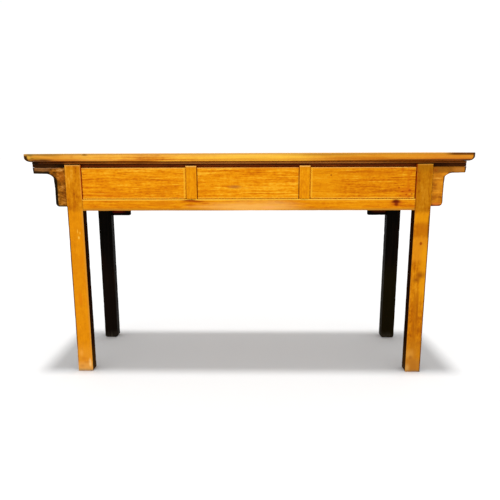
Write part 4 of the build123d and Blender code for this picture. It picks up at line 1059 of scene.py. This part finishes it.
for sx, lr in ((-1, "left"), (1, "right")):
    bx = 533.5
    pts = (
        [(-LI, up(ZK)), (-LI, up(ZN)), (-bx + 24, up(ZN)), (-bx + 24, up(213))]
        + arc3((-bx + 24, up(213)), (-bx + 24 - 16.97, up(220.03)), (-bx, up(237)), 8)[1:]
        + arc3((-bx, up(ZK - 6)), (-bx - 1.757, up(ZK - 1.757)), (-bx - 6, up(ZK)), 5)
    )
    outline = [(-sx * x, z) for x, z in pts]
    if sx > 0:
        outline = outline[::-1]
    worn_piece(f"back_bracket_{lr}_wood", "table", prism(outline, "Y", 176.5, 194.5), [MAT["lacquer_bracket"]], [f"back_bracket_{lr}"],
               bevel=1.8, segments=3, steps=(9, 0, 9), inset=4.0, wear=0.6, nicks=8, nick=1.0, sway=0.3, reach=5.0, seed=127 + sx,
               test=lambda p, q: not (abs(p.x) > LI - 1 and abs(q.x) > LI - 1) and not (p.z > up(ZN + 0.5) and q.z > up(ZN + 0.5)))

# ============================================================================ drawer fronts
for name, mat, seed in (("drawer_left", "drawer_left_wood", 131), ("drawer_middle", "drawer_middle_wood", 137), ("drawer_right", "drawer_right_wood", 139)):
    node = name + "_front"
    lo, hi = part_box(node)
    lo, hi = lo / MM, hi / MM

    def shows(p, q, lo=lo, hi=hi):
        front = abs(p.y - lo.y) < 0.1 and abs(q.y - lo.y) < 0.1 and max(p.z, q.z) > lo.z + 0.1
        front = front and abs(p.x - q.x) + abs(abs(p.x) - STX - STW / 2) > 3  # plain joint beside the stile
        top = abs(p.z - hi.z) < 0.1 and abs(q.z - hi.z) < 0.1 and abs(p.y - hi.y) < 0.1 and abs(q.y - hi.y) < 0.1
        return front or top

    worn_piece(
        node + "_wood", name, from_cad(node), [MAT[mat], MAT["gap_brown"], MAT["drawer_box_x"]], [node],
        bevel=1.3, segments=3, steps=(14, 0, 12), inset=5.0, wear=0.5, nicks=12, nick=0.6, sway=0.3, reach=4.5, seed=seed, test=shows,
        pick=lambda c, n: 2 if n.y > 0.6 else 1 if abs(n.x) > 0.8 and abs(abs(c.x) - STX - STW / 2) > 3 else 0,
        keep_flat=lambda co, lo=lo: np.clip(1 - (co[:, 1] - lo.y - 3.0) / 3.0, 0, 1),
    )


# ============================================================================ CAD nodes that stay
def carry(node, mat, width=0.5):
    o = NODES[node]
    o.data.materials.clear()
    o.data.materials.append(mat)
    for p in o.data.polygons:
        p.use_smooth = True
    w = o.modifiers.new("weld", "WELD")
    w.merge_threshold = 2e-6
    b = o.modifiers.new("bevel", "BEVEL")
    b.width, b.segments, b.limit_method, b.angle_limit = width * MM, 2, "ANGLE", math.radians(40)
    b.use_clamp_overlap = True
    n = o.modifiers.new("weighted_normal", "WEIGHTED_NORMAL")
    n.keep_sharp = False


for name in ("drawer_left", "drawer_middle", "drawer_right"):
    carry(name + "_side_left", MAT["drawer_box_y"])
    carry(name + "_side_right", MAT["drawer_box_y"])
    carry(name + "_back", MAT["drawer_box_x"])
    carry(name + "_bottom", MAT["drawer_box_bottom"])
for name in ("top_batten_end_left", "top_batten_end_right", "top_batten_mid_left", "top_batten_mid_right"):
    carry(name, MAT["old_pine_y"], 0.8)
for name in ("runner_end_left", "runner_end_right", "runner_mid_left", "runner_mid_right"):
    carry(name, MAT["old_pine_y"], 0.8)
carry("joint_pegs", MAT["peg_wood"], 0.3)


# ============================================================================ stage
def stage_material(name, value):
    t = Tree(name)
    t.bsdf.inputs["Base Color"].default_value = (value, value, value, 1)
    t.bsdf.inputs["Roughness"].default_value = 0.9
    t.bsdf.inputs["Specular IOR Level"].default_value = 0.0
    return t.mat


def make_stage():
    mesh = bpy.data.meshes.new("floor")
    r = 60.0
    mesh.from_pydata([(-r, -r, 0), (r, -r, 0), (r, r, 0), (-r, r, 0)], [], [(0, 1, 2, 3)])
    mesh.materials.append(stage_material("floor_pale", 0.62))
    floor = bpy.data.objects.new("floor", mesh)
    bpy.context.scene.collection.objects.link(floor)


make_stage()


def area(name, location, target, size, watts, colour=(1, 1, 1), size_y=None):
    data = bpy.data.lights.new(name, "AREA")
    data.energy, data.color = watts, colour
    data.shape = "RECTANGLE" if size_y else "SQUARE"
    data.size = size
    if size_y:
        data.size_y = size_y
    o = bpy.data.objects.new(name, data)
    o.location = location
    o.rotation_euler = (Vector(target) - Vector(location)).to_track_quat("-Z", "Y").to_euler()
    bpy.context.scene.collection.objects.link(o)
    return o


world = bpy.data.worlds.new("studio")
bpy.context.scene.world = world
world.use_nodes = True
bg = world.node_tree.nodes.get("Background") or world.node_tree.nodes.new("ShaderNodeBackground")
bg.inputs["Color"].default_value = (1, 1, 1, 1)
bg.inputs["Strength"].default_value = 1.02

sun = bpy.data.lights.new("overhead", "SUN")
sun.energy, sun.angle = 2.45, math.radians(6)
sun_o = bpy.data.objects.new("overhead", sun)
sun_o.rotation_euler = (Vector((0, 0, 0)) - Vector((0.0, -0.05, 3.0))).to_track_quat("-Z", "Y").to_euler()
bpy.context.scene.collection.objects.link(sun_o)

vs = bpy.context.scene.view_settings
vs.view_transform, vs.look, vs.exposure, vs.gamma = "Standard", "None", 0.0, 1.0

bpy.context.view_layer.update()
